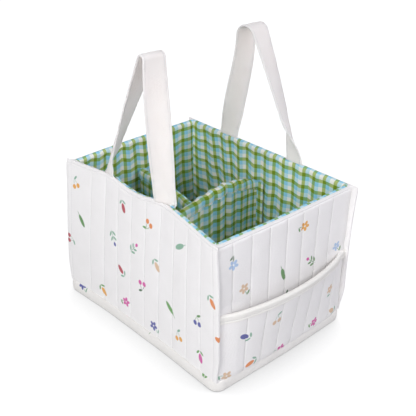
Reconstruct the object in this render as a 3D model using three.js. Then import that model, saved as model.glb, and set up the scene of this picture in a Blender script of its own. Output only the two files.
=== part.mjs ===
import * as THREE from 'three';

// A quilted fabric nursery caddy with two strap handles, an end pocket and a lift-out divider.
// Millimetres. X runs along the long walls, Y from front to back, Z up from the underside.

// Body
const BODY_LENGTH = 330; // outside, end to end
const BODY_DEPTH = 246; // outside, front to back
const RIM_HEIGHT = 217; // underside to the top of the outer panels
const INNER_CORNER_RADIUS = 2.4; // upright corners, at the inside of the lining
const FRONT_BOW = 14; // how far the front rim leans in between its corners
const BOW_POWER = 1.6; // 1 is a straight lean, higher keeps the lean near the rim
const SEAM_GAP = 0.3; // clearance between neighbouring layers

// Layers of a wall, from the outside in
const OUTER_THICKNESS = 5; // cotton and wadding at the crest of a channel
const QUILT_PITCH = 30; // width of a stitched channel
const QUILT_DEPTH = 1.4; // depth of the stitched groove
const BOARD_THICKNESS = 2.4;
const LINING_THICKNESS = 1.6;
const RIM_STITCH = 12; // height over which the wadding thins out below the rim
const RIM_EDGE = 2; // thickness of the outer panel at the rim
const END_BOARD_DROP = 4; // top of an end board below the rim
const BINDING_RISE = 3; // rolled check edge above the rim
const BINDING_SHOULDER = 1.8; // height at which that edge starts to round over
const BINDING_STOP = 18; // the rolled edge ends this far short of a corner

// Base
const BAND_HEIGHT = 17;
const BAND_PROUD = 2.5; // stands out from the walls
const BAND_THICKNESS = 6;
const BAND_ROUND = 1.5; // the band's edges are rounded back by this much
const BASE_PANEL_THICKNESS = 4;
const BASE_BOARD_THICKNESS = 3;
const BASE_LINING_THICKNESS = 2;

// End pocket
const POCKET_TOP = 113; // height of the pocket's edge above the underside
const POCKET_THICKNESS = 4;
const POCKET_GAPE = 15; // how far the middle of the edge stands away from the wall
const POCKET_TUCK = 2; // thickness of the pocket panel where the base band catches it
const POCKET_QUILT_DEPTH = 1; // depth of its stitched grooves
const POCKET_GAPE_POWER = 1.3; // 1 opens evenly from the foot, higher opens more at the edge
const POCKET_BINDING_DROP = 12; // depth of the binding over the pocket's edge
const POCKET_BINDING_SHEET = 1.2;

// Handles
const STRAP_WIDTH = 34;
const STRAP_THICKNESS = 2.4;
const FRONT_HANDLE_X = -20; // midway between the legs of a handle
const BACK_HANDLE_X = -6;
const FRONT_LEG_SPREAD = 60; // from that middle to each leg
const BACK_LEG_SPREAD = 67;
const FRONT_LOOP_HEIGHT = 190; // from the fold line at the rim to the top of the loop
const BACK_LOOP_HEIGHT = 177;
const FRONT_APEX_SHIFT = 42; // the top of a loop leans to one of its legs
const BACK_APEX_SHIFT = 21;
const FRONT_APEX_RADIUS = 8;
const BACK_APEX_RADIUS = 15;
const STRAP_STAND = 6; // fold line of a strap above the rim
const ROOT_FLAT = 7; // stretch of each leg that stays flat before it twists
const ROOT_SKEW = 45; // stretch in which a leg leaves the rim aslant, before it squares to its path
const TWIST_EVEN = 0.35; // share of the half twist that is spread evenly along the loop
const TWIST_POWER = 5; // the rest of the twist comes close to the legs, odd
const TAIL_DEPTH = 30; // sewn length inside the rim seam
const FOLD_OUT = THREE.MathUtils.degToRad(100); // furthest a handle folds to the outside

// Divider
const DIVIDER_TOP = 168; // above the underside
const DIVIDER_THICKNESS = 7;
const DIVIDER_SHEET = 1.3; // cover fabric
const CROSS_FRONT_X = 13; // where the cross divider meets the front wall
const CROSS_BACK_X = -6; // where it meets the back wall
const CROSS_BEND_X = -22; // it bows to the plain end between them
const CROSS_BEND_SHARE = 0.77; // the bow is fullest nearer the back
const LONG_DIVIDER_END_Y = 4; // where the long divider meets the plain end
const LONG_DIVIDER_JOIN = 0.28; // share of the cross divider at which it meets it
const DIVIDER_SLACK = 1.5; // room at the leaning front rim, so that the divider lifts out
const TAB_REACH = 12; // a tab beyond the divider's face
const TAB_THICKNESS = 2;
const TAPE_WIDTH = 15;
const TAPE_THICKNESS = 1.2;
const TAPE_MARGIN = 20; // tape stops this far from the divider's top and bottom

// Places that follow from the sizes
const CORE_LAYER = Math.max(BOARD_THICKNESS, STRAP_THICKNESS);
const BOARD_INSET = OUTER_THICKNESS + SEAM_GAP;
const LINING_INSET = BOARD_INSET + CORE_LAYER + SEAM_GAP;
const WALL = LINING_INSET + LINING_THICKNESS;
const CORNER_RADIUS = WALL + INNER_CORNER_RADIUS;
const BINDING_INNER = WALL + SEAM_GAP;
const STRAP_INSET = BOARD_INSET + STRAP_THICKNESS / 2;
const FOLD_HEIGHT = RIM_HEIGHT + STRAP_STAND;
const PANEL_BOTTOM = BAND_HEIGHT + SEAM_GAP;
const BASE_BOARD_BOTTOM = BASE_PANEL_THICKNESS + SEAM_GAP;
const BASE_LINING_BOTTOM = BASE_BOARD_BOTTOM + BASE_BOARD_THICKNESS + SEAM_GAP;
const FLOOR = BASE_LINING_BOTTOM + BASE_LINING_THICKNESS + SEAM_GAP;
const POCKET_INSET = -(SEAM_GAP + POCKET_BINDING_SHEET + SEAM_GAP);
const TAB_WIDTH = DIVIDER_THICKNESS + TAB_REACH;

// The four walls: half their length, distance from the centre, turn about Z, and lean at the rim
const WALLS = {
  front: { half: BODY_LENGTH / 2, distance: BODY_DEPTH / 2, turn: 0, bow: FRONT_BOW },
  pocket_end: { half: BODY_DEPTH / 2, distance: BODY_LENGTH / 2, turn: Math.PI / 2, bow: 0 },
  back: { half: BODY_LENGTH / 2, distance: BODY_DEPTH / 2, turn: Math.PI, bow: 0 },
  plain_end: { half: BODY_DEPTH / 2, distance: BODY_LENGTH / 2, turn: -Math.PI / 2, bow: 0 },
};

const caddy = new THREE.Group();
const wallGroups = {};
for (const [name, wall] of Object.entries(WALLS)) {
  // Inside a wall's group, X runs along the wall, Y points into the caddy and Y = 0 is the outside
  const group = new THREE.Group();
  group.rotation.z = wall.turn;
  group.position.set(Math.sin(wall.turn) * wall.distance, -Math.cos(wall.turn) * wall.distance, 0);
  caddy.add(group);
  wallGroups[name] = group;
}

// X of a handle runs along its wall, seen from outside, so it is turned round for the back wall
const HANDLES = {
  front: {
    centre: FRONT_HANDLE_X,
    spread: FRONT_LEG_SPREAD,
    height: FRONT_LOOP_HEIGHT,
    shift: FRONT_APEX_SHIFT,
    radius: FRONT_APEX_RADIUS,
  },
  back: {
    centre: -BACK_HANDLE_X,
    spread: BACK_LEG_SPREAD,
    height: BACK_LOOP_HEIGHT,
    shift: BACK_APEX_SHIFT,
    radius: BACK_APEX_RADIUS,
  },
};

const WHITE_QUILT = '#ebe9e8';
const IVORY_COTTON = '#e6e3dc';
const CHECK_COTTON = '#a9c6b4';
const STRAP_COTTON = '#e6e3e4';
const BOARD = '#b5aea3';
const FOAM = '#d9d4c4';
const TAPE = '#dcdad8';

function fabric(color) {
  return new THREE.MeshStandardMaterial({ color, roughness: 0.9, metalness: 0 });
}

function place(parent, name, geometry, material) {
  const mesh = new THREE.Mesh(geometry, material);
  mesh.name = name;
  parent.add(mesh);
  return mesh;
}

function steps(from, to, count) {
  return Array.from({ length: count + 1 }, (_, i) => from + ((to - from) * i) / count);
}

// A closed solid through rings of points. Each ring has the same number of points, and outline
// gives the first and last ring in two dimensions, for the caps. A round run has no caps. Each
// quad is split from its low corner to its high one, so that neighbouring layers nest.
function loft(rings, outline = null) {
  const size = rings[0].length;
  const positions = rings.flat().flatMap((point) => point.toArray());
  const triangles = [];
  const spans = outline ? rings.length - 1 : rings.length;
  for (let i = 0; i < spans; i++) {
    const here = i * size;
    const there = ((i + 1) % rings.length) * size;
    for (let k = 0; k < size; k++) {
      const next = (k + 1) % size;
      const quad = [here + k, there + k, there + next, here + next];
      const [a, b, c, d] = rings[i][k].z > rings[i][next].z ? [...quad.slice(1), quad[0]] : quad;
      triangles.push([a, b, c]);
      triangles.push([a, c, d]);
    }
  }
  if (outline) {
    const clockwise = THREE.ShapeUtils.isClockWise(outline);
    const last = (rings.length - 1) * size;
    for (const [a, b, c] of THREE.ShapeUtils.triangulateShape(outline, [])) {
      const face = [outline[a], outline[b], outline[c]];
      const [p, q, r] = THREE.ShapeUtils.isClockWise(face) === clockwise ? [a, b, c] : [a, c, b];
      triangles.push([p, q, r]);
      triangles.push([last + p, last + r, last + q]);
    }
  }
  const point = (index) => new THREE.Vector3().fromArray(positions, 3 * index);
  const volume = triangles.reduce(
    (sum, [a, b, c]) => sum + point(a).dot(point(b).cross(point(c))),
    0,
  );
  const faces = volume < 0 ? triangles.map(([a, b, c]) => [a, c, b]) : triangles;
  const geometry = new THREE.BufferGeometry();
  geometry.setAttribute('position', new THREE.Float32BufferAttribute(positions, 3));
  geometry.setIndex(faces.flat());
  geometry.computeVertexNormals();
  return geometry;
}

// A leaning wall is faceted in level rows that all its layers share
const LEAN_ROWS = 6;
const LEVEL_HALF = FRONT_LEG_SPREAD - FRONT_HANDLE_X + STRAP_WIDTH / 2 + QUILT_PITCH / 3;

function rowsBetween(wall, bottom, top) {
  const rows = wall.bow > 0 ? steps(0, RIM_HEIGHT, LEAN_ROWS) : [];
  return [bottom, ...rows.filter((up) => up > bottom && up < top), top];
}

// How far a wall leans in at a place along it and a height: level over the handle, nothing at the
// corners and at the foot
function leanIn(wall, along, up) {
  const reach = wall.half - CORNER_RADIUS - SEAM_GAP;
  const share = THREE.MathUtils.clamp((Math.abs(along) - LEVEL_HALF) / (reach - LEVEL_HALF), 0, 1);
  const row = Math.min((LEAN_ROWS * up) / RIM_HEIGHT, LEAN_ROWS);
  const below = Math.min(Math.floor(row), LEAN_ROWS - 1);
  const rise = (rows) => (rows / LEAN_ROWS) ** BOW_POWER;
  const lean = THREE.MathUtils.lerp(rise(below), rise(below + 1), row - below);
  return wall.bow * lean * 0.5 * (1 + Math.cos(Math.PI * share));
}

// A point of a wall: a stop along it, a depth in from its outside and a height
function wallPoint(wall, stop, inset, up) {
  const radius = CORNER_RADIUS - inset;
  const along = stop.along + radius * Math.sin(stop.corner);
  const depth = inset + radius * (1 - Math.cos(stop.corner));
  return new THREE.Vector3(along, depth + leanIn(wall, along, up), up);
}

function straightStops(from, to, count) {
  return steps(from, to, count).map((along) => ({ along, corner: 0 }));
}

// Stops from corner to corner: half of each round corner, mitred against the next wall, and the
// straight wall between them
function fullStops(wall, count) {
  const reach = wall.half - CORNER_RADIUS - SEAM_GAP * Math.SQRT1_2;
  const quarter = steps(0, Math.PI / 4, 2);
  const start = quarter.slice(1).reverse().map((corner) => ({ along: -reach, corner: -corner }));
  const end = quarter.slice(1).map((corner) => ({ along: reach, corner }));
  return [...start, ...straightStops(-reach, reach, count), ...end];
}

// A wall piece: profile gives the closed section, as [inset, height] pairs, at each stop
function wallSolid(wall, stops, profile) {
  const sections = stops.map(profile);
  const rings = sections.map((section, i) =>
    section.map(([inset, up]) => wallPoint(wall, stops[i], inset, up)),
  );
  return loft(rings, sections[0].map(([inset, up]) => new THREE.Vector2(inset, up)));
}

// A layer of even thickness between two heights
function layer(inset, thickness, heights) {
  const outside = heights.map((up) => [inset, up]);
  const inside = heights.map((up) => [inset + thickness, up]).reverse();
  return [...outside, ...inside];
}

function channelCount(wall) {
  return Math.max(1, Math.round((2 * (wall.half - CORNER_RADIUS)) / QUILT_PITCH));
}

const STOPS_PER_CHANNEL = 3;

// Depth of the quilting at a stop: a groove at each stitched line, a crest round the corners
function quiltGroove(wall, stop, depth) {
  const reach = wall.half - CORNER_RADIUS - SEAM_GAP * Math.SQRT1_2;
  const across = ((stop.along + reach) / (2 * reach)) * channelCount(wall);
  const phase = stop.corner === 0 ? across : (2 * Math.abs(stop.corner)) / Math.PI;
  return depth * (1 - Math.abs(Math.sin(Math.PI * phase)));
}

function quiltedStops(wall) {
  return fullStops(wall, STOPS_PER_CHANNEL * channelCount(wall));
}

// Quilted outer panel, thinned at the rim by its stitching
function outerPanel(wall) {
  const stitched = RIM_HEIGHT - RIM_STITCH;
  const heights = [
    ...rowsBetween(wall, PANEL_BOTTOM, stitched),
    RIM_HEIGHT - RIM_STITCH / 2,
    RIM_HEIGHT,
  ];
  return wallSolid(wall, quiltedStops(wall), (stop) => {
    const groove = quiltGroove(wall, stop, QUILT_DEPTH);
    const outside = heights.map((up) => {
      const thinned = Math.max(0, (up - stitched) / RIM_STITCH) ** 2;
      const inset = THREE.MathUtils.lerp(groove, OUTER_THICKNESS - RIM_EDGE, thinned);
      return [inset, up];
    });
    const inside = heights.map((up) => [OUTER_THICKNESS, up]).reverse();
    return [...outside, ...inside];
  });
}

// Board or lining: only the stops where the wall bends
function plainLayer(wall, inset, thickness, bottom, top) {
  const section = layer(inset, thickness, rowsBetween(wall, bottom, top));
  const level = LEVEL_HALF - QUILT_PITCH;
  const bent = quiltedStops(wall).filter(({ along }) => Math.abs(along) > level);
  return wallSolid(wall, wall.bow > 0 ? bent : fullStops(wall, 1), () => section);
}

const BINDING_STOPS = 10;

// Places along a long wall where the two legs of its handle come out of the rim
function legPlaces(name) {
  const { centre, spread } = HANDLES[name];
  return [centre - spread, centre + spread];
}

// Rolled check edge on a rim, narrow where a strap comes up outside it
function rimBinding(name, wall) {
  const reach = wall.half - BINDING_STOP;
  const openings = name in HANDLES ? legPlaces(name) : [];
  const halfNotch = STRAP_WIDTH / 2 + SEAM_GAP;
  const stops = straightStops(-reach, reach, BINDING_STOPS).filter(
    ({ along }) => openings.every((leg) => Math.abs(along - leg) > halfNotch + 2 * SEAM_GAP),
  );
  for (const leg of openings) {
    for (const side of [-1, 1]) {
      const edge = leg + side * halfNotch;
      stops.push({ along: edge, corner: 0 });
      stops.push({ along: edge + side * SEAM_GAP, corner: 0 });
    }
  }
  stops.sort((a, b) => a.along - b.along);
  const bottom = RIM_HEIGHT + SEAM_GAP;
  const shoulder = RIM_HEIGHT + BINDING_SHOULDER;
  const crown = RIM_HEIGHT + BINDING_RISE;
  return wallSolid(wall, stops, ({ along }) => {
    const notched = openings.some((leg) => Math.abs(along - leg) < halfNotch + SEAM_GAP / 2);
    const outer = notched ? LINING_INSET : OUTER_THICKNESS - RIM_EDGE;
    const roll = (BINDING_INNER - outer) / 4;
    return [
      [outer, bottom],
      [outer, shoulder],
      [outer + roll, crown],
      [BINDING_INNER - roll, crown],
      [BINDING_INNER, shoulder],
      [BINDING_INNER, bottom],
    ];
  });
}

for (const [name, wall] of Object.entries(WALLS)) {
  const group = wallGroups[name];
  const boardTop = name in HANDLES ? TAIL_DEPTH + SEAM_GAP : END_BOARD_DROP;
  const board = plainLayer(
    wall,
    BOARD_INSET,
    BOARD_THICKNESS,
    BASE_BOARD_BOTTOM,
    RIM_HEIGHT - boardTop,
  );
  const lining = plainLayer(wall, LINING_INSET, LINING_THICKNESS, BASE_LINING_BOTTOM, RIM_HEIGHT);
  place(group, `${name}_outer_panel`, outerPanel(wall), fabric(WHITE_QUILT));
  place(group, `${name}_board`, board, fabric(BOARD));
  place(group, `${name}_lining`, lining, fabric(CHECK_COTTON));
  place(group, `${name}_rim_binding`, rimBinding(name, wall), fabric(CHECK_COTTON));
}

// Base band: one strip all the way round the foot, rounded at its edges
function baseBand() {
  const section = [
    [-BAND_PROUD + BAND_ROUND, 0],
    [-BAND_PROUD, BAND_HEIGHT / 4],
    [-BAND_PROUD, (3 * BAND_HEIGHT) / 4],
    [-BAND_PROUD + BAND_ROUND, BAND_HEIGHT],
    [BAND_THICKNESS - BAND_PROUD, BAND_HEIGHT],
    [BAND_THICKNESS - BAND_PROUD, 0],
  ];
  const rings = [];
  for (const [name, wall] of Object.entries(WALLS)) {
    const reach = wall.half - CORNER_RADIUS;
    const corner = steps(-Math.PI / 4, 0, 2).map((turn) => ({ along: -reach, corner: turn }));
    const end = { along: reach, corner: 0 };
    const round = { along: reach, corner: Math.PI / 8 };
    wallGroups[name].updateMatrixWorld(true);
    for (const stop of [...corner, end, round]) {
      rings.push(
        section.map(([inset, up]) =>
          wallPoint({ ...wall, bow: 0 }, stop, inset, up).applyMatrix4(wallGroups[name].matrixWorld),
        ),
      );
    }
  }
  return loft(rings);
}

// A flat sheet of the base, with the corners of the walls
function baseSheet(inset, thickness) {
  const x = BODY_LENGTH / 2 - inset;
  const y = BODY_DEPTH / 2 - inset;
  const radius = Math.max(CORNER_RADIUS - inset, INNER_CORNER_RADIUS);
  const outline = new THREE.Shape();
  outline.absarc(x - radius, y - radius, radius, 0, Math.PI / 2);
  outline.absarc(-x + radius, y - radius, radius, Math.PI / 2, Math.PI);
  outline.absarc(-x + radius, -y + radius, radius, Math.PI, 1.5 * Math.PI);
  outline.absarc(x - radius, -y + radius, radius, 1.5 * Math.PI, 2 * Math.PI);
  outline.closePath();
  const options = { depth: thickness, bevelEnabled: false, curveSegments: 3 };
  return new THREE.ExtrudeGeometry(outline, options);
}

const basePanelInset = BAND_THICKNESS - BAND_PROUD + SEAM_GAP;
const baseSheets = [
  ['base_outer_panel', basePanelInset, 0, BASE_PANEL_THICKNESS, IVORY_COTTON],
  ['base_board', LINING_INSET, BASE_BOARD_BOTTOM, BASE_BOARD_THICKNESS, BOARD],
  ['base_lining', WALL + SEAM_GAP, BASE_LINING_BOTTOM, BASE_LINING_THICKNESS, CHECK_COTTON],
];
place(caddy, 'base_band', baseBand(), fabric(IVORY_COTTON));
for (const [name, inset, bottom, thickness, color] of baseSheets) {
  place(caddy, name, baseSheet(inset, thickness), fabric(color)).position.z = bottom;
}

// How far the pocket stands away from its wall: nothing at the foot and the corners, most at the
// middle of its edge
function pocketGape(wall, stop, up) {
  const across = Math.min(1, Math.abs(stop.along) / (wall.half - CORNER_RADIUS));
  const rise = Math.max(0, (up - PANEL_BOTTOM) / (POCKET_TOP - PANEL_BOTTOM));
  return stop.corner === 0 ? POCKET_GAPE * (1 - across ** 2) * rise ** POCKET_GAPE_POWER : 0;
}

function pocketPanel(wall) {
  const heights = steps(PANEL_BOTTOM, POCKET_TOP, 4);
  return wallSolid(wall, quiltedStops(wall), (stop) => {
    const groove = quiltGroove(wall, stop, POCKET_QUILT_DEPTH);
    const bound = POCKET_TOP - POCKET_BINDING_DROP - SEAM_GAP;
    const outside = heights.map((up, i) => {
      const thickness = i === 0 ? POCKET_TUCK : POCKET_THICKNESS;
      const depth = up > bound || i === 0 ? 0 : groove;
      return [POCKET_INSET - thickness + depth - pocketGape(wall, stop, up), up];
    });
    const inside = heights.map((up) => [POCKET_INSET - pocketGape(wall, stop, up), up]).reverse();
    return [...outside, ...inside];
  });
}

// Binding folded over the pocket's edge, one sheet outside and one inside
function pocketBinding(wall) {
  const low = POCKET_TOP - POCKET_BINDING_DROP;
  const heights = [low, POCKET_TOP - POCKET_BINDING_DROP / 2, POCKET_TOP];
  return wallSolid(wall, quiltedStops(wall), (stop) => {
    const inner = (up) => POCKET_INSET - pocketGape(wall, stop, up) + SEAM_GAP;
    const outer = (up) => inner(up) - POCKET_THICKNESS - 2 * SEAM_GAP;
    const fold = POCKET_TOP + SEAM_GAP;
    const crown = fold + POCKET_BINDING_SHEET;
    return [
      ...heights.map((up) => [outer(up) - POCKET_BINDING_SHEET, up]),
      [outer(POCKET_TOP), crown],
      [inner(POCKET_TOP), crown],
      ...heights.map((up) => [inner(up) + POCKET_BINDING_SHEET, up]).reverse(),
      ...heights.map((up) => [inner(up), up]),
      [inner(POCKET_TOP), fold],
      [outer(POCKET_TOP), fold],
      ...heights.map((up) => [outer(up), up]).reverse(),
    ];
  });
}

const pocketWall = WALLS.pocket_end;
place(wallGroups.pocket_end, 'pocket_panel', pocketPanel(pocketWall), fabric(WHITE_QUILT));
place(wallGroups.pocket_end, 'pocket_binding', pocketBinding(pocketWall), fabric(IVORY_COTTON));

// Sewn end of a strap inside the rim seam. It stops below the fold line by what the folded strap
// needs to clear it.
function strapTail(wall, leg) {
  const half = STRAP_THICKNESS / 2;
  const clear = (half * (1 - Math.cos(FOLD_OUT)) + SEAM_GAP) / Math.sin(FOLD_OUT);
  const heights = [...rowsBetween(wall, RIM_HEIGHT - TAIL_DEPTH, RIM_HEIGHT), FOLD_HEIGHT - clear];
  const stops = straightStops(leg - STRAP_WIDTH / 2, leg + STRAP_WIDTH / 2, 2);
  return wallSolid(wall, stops, () => layer(BOARD_INSET, STRAP_THICKNESS, heights));
}

// The loop of a handle above its fold line: up one leg, over a tight apex and down the other,
// with half a twist along the way
function handleLoop({ spread, height, shift, radius }) {
  const top = height - radius;
  const slant = Math.atan2(spread + shift, height);
  const path = new THREE.Path();
  path.moveTo(spread, 0);
  path.bezierCurveTo(spread, 0.4 * height, shift + radius, 0.6 * height, shift + radius, top);
  path.absarc(shift, top, radius, 0, Math.PI - slant);
  path.bezierCurveTo(
    path.currentPoint.x - 0.4 * height * Math.sin(slant),
    path.currentPoint.y - 0.4 * height * Math.cos(slant),
    -spread,
    0.1 * height,
    -spread,
    0,
  );
  const length = path.getLength();
  const half = STRAP_THICKNESS / 2;
  const section = (distance, thickness) => {
    const along = THREE.MathUtils.clamp(distance / length, 0, 1);
    const point = path.getPointAt(along);
    const heading = path.getTangentAt(along);
    const tangent = new THREE.Vector3(heading.x, 0, heading.y);
    const beyond = distance - along * length;
    const centre = new THREE.Vector3(point.x, 0, point.y).addScaledVector(tangent, beyond);
    const twisted = THREE.MathUtils.clamp((distance - ROOT_FLAT) / (length - 2 * ROOT_FLAT), 0, 1);
    const even = 2 * twisted - 1;
    const late = even ** TWIST_POWER;
    const turn = (Math.PI / 2) * (1 + TWIST_EVEN * even + (1 - TWIST_EVEN) * late);
    const across = new THREE.Vector3(Math.cos(turn), Math.sin(turn), 0);
    const square = THREE.MathUtils.smoothstep(Math.min(distance, length - distance), 0, ROOT_SKEW);
    across.addScaledVector(tangent, -square * across.dot(tangent)).normalize();
    const normal = new THREE.Vector3().crossVectors(tangent, across).normalize();
    const corner = (width, depth) =>
      centre.clone().addScaledVector(across, width).addScaledVector(normal, depth);
    const side = STRAP_WIDTH / 2;
    return [
      corner(-side, -thickness / 2),
      corner(side, -thickness / 2),
      corner(side, thickness / 2),
      corner(-side, thickness / 2),
    ];
  };
  // Each end is rounded about the fold line
  const round = steps(0.15 * Math.PI, Math.PI / 2, 2).slice(0, -1);
  const rings = [
    ...round.map((a) => section(-half * Math.cos(a), STRAP_THICKNESS * Math.sin(a))),
    ...steps(0, length, 44).map((distance) => section(distance, STRAP_THICKNESS)),
    ...round
      .reverse()
      .map((a) => section(length + half * Math.cos(a), STRAP_THICKNESS * Math.sin(a))),
  ];
  const outline = [[0, 0], [1, 0], [1, 1], [0, 1]].map(([x, y]) => new THREE.Vector2(x, y));
  return loft(rings, outline);
}

for (const [name, handle] of Object.entries(HANDLES)) {
  const wall = WALLS[name];
  const [left, right] = legPlaces(name);
  place(wallGroups[name], `${name}_strap_tail_left`, strapTail(wall, left), fabric(STRAP_COTTON));
  place(wallGroups[name], `${name}_strap_tail_right`, strapTail(wall, right), fabric(STRAP_COTTON));
  const loop = place(wallGroups[name], `${name}_handle`, handleLoop(handle), fabric(STRAP_COTTON));
  loop.position.set((left + right) / 2, STRAP_INSET + wall.bow, FOLD_HEIGHT);
}

// Section of a divider's cover, as [offset, height] pairs: one piece of fabric folded over the top,
// open at the foot
function coverSection(height) {
  const half = DIVIDER_THICKNESS / 2;
  const inside = half - DIVIDER_SHEET;
  const shoulder = height - half;
  const fold = (radius) =>
    steps(0, Math.PI, 6).map((turn) => [
      radius * Math.cos(turn),
      shoulder + radius * Math.sin(turn),
    ]);
  return [[half, 0], ...fold(half), [-half, 0], [-inside, 0], ...fold(inside).reverse(), [inside, 0]];
}

function coreSection(height) {
  const half = DIVIDER_THICKNESS / 2 - DIVIDER_SHEET - SEAM_GAP;
  const top = height - DIVIDER_THICKNESS / 2;
  return [[half, 0], [half, top], [-half, top], [-half, 0]];
}

// A divider piece along a line in plan. Its two ends lie flat against faces of the given headings.
function dividerRun(line, count, endFaces, section) {
  const rings = steps(0, 1, count).map((share, i) => {
    const point = line.getPoint(share);
    const tangent = line.getTangent(share);
    const across = new THREE.Vector2(tangent.y, -tangent.x);
    const face = i === 0 ? endFaces[0] : endFaces[1];
    const slide = i === 0 || i === count ? face.clone().divideScalar(face.dot(across)) : across;
    return section.map(
      ([offset, up]) => new THREE.Vector3(point.x + slide.x * offset, point.y + slide.y * offset, up),
    );
  });
  return loft(rings, section.map(([offset, up]) => new THREE.Vector2(offset, up)));
}

// The divider stands on the base lining: a cross divider between the long walls, and a long one
// from it to the plain end. Each end against a wall has a tab turned along the lining, with hook
// tape on its face, and the lining carries the loop tape that it closes on.
const dividerHeight = DIVIDER_TOP - FLOOR;
const tapeHeight = dividerHeight - 2 * TAPE_MARGIN;
const tapeStack = TAPE_THICKNESS + SEAM_GAP;
const lapped = WALL + SEAM_GAP + tapeStack;
const frontFace = -BODY_DEPTH / 2 + FRONT_BOW + BINDING_INNER + DIVIDER_SLACK;
const backFace = BODY_DEPTH / 2 - lapped;
const plainFace = -BODY_LENGTH / 2 + lapped;
const frontTabX = CROSS_FRONT_X + TAB_REACH / 2;
const backTabX = CROSS_BACK_X + TAB_REACH / 2;
const longTabY = LONG_DIVIDER_END_Y + TAB_REACH / 2;

const divider = new THREE.Group();
divider.position.z = FLOOR;
caddy.add(divider);

function dividerPanel(name, line, count, endFaces) {
  const cover = dividerRun(line, count, endFaces, coverSection(dividerHeight));
  const core = dividerRun(line, count, endFaces, coreSection(dividerHeight));
  place(divider, name, cover, fabric(CHECK_COTTON));
  place(divider, `${name}_core`, core, fabric(FOAM));
}

// X of an end group runs along the wall and Y points into the caddy, from the hook tape's face
function dividerEnd(name, x, y, turn) {
  const end = new THREE.Group();
  end.position.set(x, y, 0);
  end.rotation.z = turn;
  divider.add(end);
  const tab = new THREE.BoxGeometry(TAB_WIDTH, TAB_THICKNESS, dividerHeight);
  tab.translate(0, tapeStack + TAB_THICKNESS / 2, dividerHeight / 2);
  const hook = new THREE.BoxGeometry(TAPE_WIDTH, TAPE_THICKNESS, tapeHeight);
  hook.translate(0, TAPE_THICKNESS / 2, TAPE_MARGIN + tapeHeight / 2);
  place(end, `${name}_tab`, tab, fabric(CHECK_COTTON));
  place(end, `${name}_hook_tape`, hook, fabric(TAPE));
}

function loopTape(name, along) {
  const low = FLOOR + TAPE_MARGIN;
  const high = low + tapeHeight;
  const stops = straightStops(along - TAPE_WIDTH / 2, along + TAPE_WIDTH / 2, 1);
  // Rows close to its ends are left out, because they would make slivers
  const clear = RIM_HEIGHT / LEAN_ROWS / 3;
  const rows = rowsBetween(WALLS[name], low + clear, high - clear).slice(1, -1);
  const heights = [low, ...rows, high];
  const section = layer(WALL + SEAM_GAP, TAPE_THICKNESS, heights);
  const tape = wallSolid(WALLS[name], stops, () => section);
  place(wallGroups[name], `${name}_loop_tape`, tape, fabric(TAPE));
}

const innerStack = tapeStack + TAB_THICKNESS + SEAM_GAP;
const crossFrontY = frontFace + innerStack;
const crossBackY = backFace - innerStack;
const crossLine = new THREE.QuadraticBezierCurve(
  new THREE.Vector2(CROSS_FRONT_X, crossFrontY),
  new THREE.Vector2(CROSS_BEND_X, THREE.MathUtils.lerp(crossFrontY, crossBackY, CROSS_BEND_SHARE)),
  new THREE.Vector2(CROSS_BACK_X, crossBackY),
);
const alongX = new THREE.Vector2(1, 0);
const alongY = new THREE.Vector2(0, 1);
dividerPanel('cross_divider', crossLine, 8, [alongX, alongX]);

const joinFace = crossLine.getTangent(LONG_DIVIDER_JOIN);
const join = crossLine.getPoint(LONG_DIVIDER_JOIN);
const outward = new THREE.Vector2(-joinFace.y, joinFace.x);
const longLine = new THREE.LineCurve(
  join.addScaledVector(outward, DIVIDER_THICKNESS / 2 + SEAM_GAP),
  new THREE.Vector2(plainFace + innerStack, LONG_DIVIDER_END_Y),
);
dividerPanel('long_divider', longLine, 1, [joinFace, alongY]);
dividerEnd('cross_divider_front', frontTabX, frontFace, 0);
dividerEnd('cross_divider_back', backTabX, backFace, Math.PI);
dividerEnd('long_divider', plainFace, longTabY, -Math.PI / 2);
loopTape('front', frontTabX);
loopTape('back', -backTabX);
loopTape('plain_end', -longTabY);

export default caddy;
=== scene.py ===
import math

import bpy
from mathutils import Matrix, Vector, noise


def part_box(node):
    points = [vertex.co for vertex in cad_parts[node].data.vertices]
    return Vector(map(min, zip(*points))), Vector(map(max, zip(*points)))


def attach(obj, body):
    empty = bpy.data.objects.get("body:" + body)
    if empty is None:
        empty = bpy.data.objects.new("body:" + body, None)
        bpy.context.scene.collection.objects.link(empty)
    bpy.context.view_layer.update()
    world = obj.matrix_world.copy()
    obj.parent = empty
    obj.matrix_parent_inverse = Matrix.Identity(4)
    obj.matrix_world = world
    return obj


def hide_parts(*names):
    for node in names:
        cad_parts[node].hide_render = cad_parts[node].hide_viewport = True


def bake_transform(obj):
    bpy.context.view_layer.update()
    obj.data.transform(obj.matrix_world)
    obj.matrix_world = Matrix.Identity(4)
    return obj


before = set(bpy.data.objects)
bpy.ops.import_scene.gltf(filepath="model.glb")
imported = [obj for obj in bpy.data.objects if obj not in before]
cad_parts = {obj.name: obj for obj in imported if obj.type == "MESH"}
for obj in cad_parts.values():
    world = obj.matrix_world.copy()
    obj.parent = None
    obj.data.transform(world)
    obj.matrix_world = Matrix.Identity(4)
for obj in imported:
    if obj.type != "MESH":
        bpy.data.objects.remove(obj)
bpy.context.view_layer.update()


# Base: a quilted cotton panel outside, which the caddy stands on, and a check lining inside, with
# the base board between them. The outer panel is sewn in channels over thin wadding.
def linear(colour):
    """A colour written as #rrggbb, as the linear values that a shader takes."""
    shares = [int(colour[i : i + 2], 16) / 255 for i in (1, 3, 5)]
    return (*[s / 12.92 if s <= 0.04045 else ((s + 0.055) / 1.055) ** 2.4 for s in shares], 1)


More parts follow.
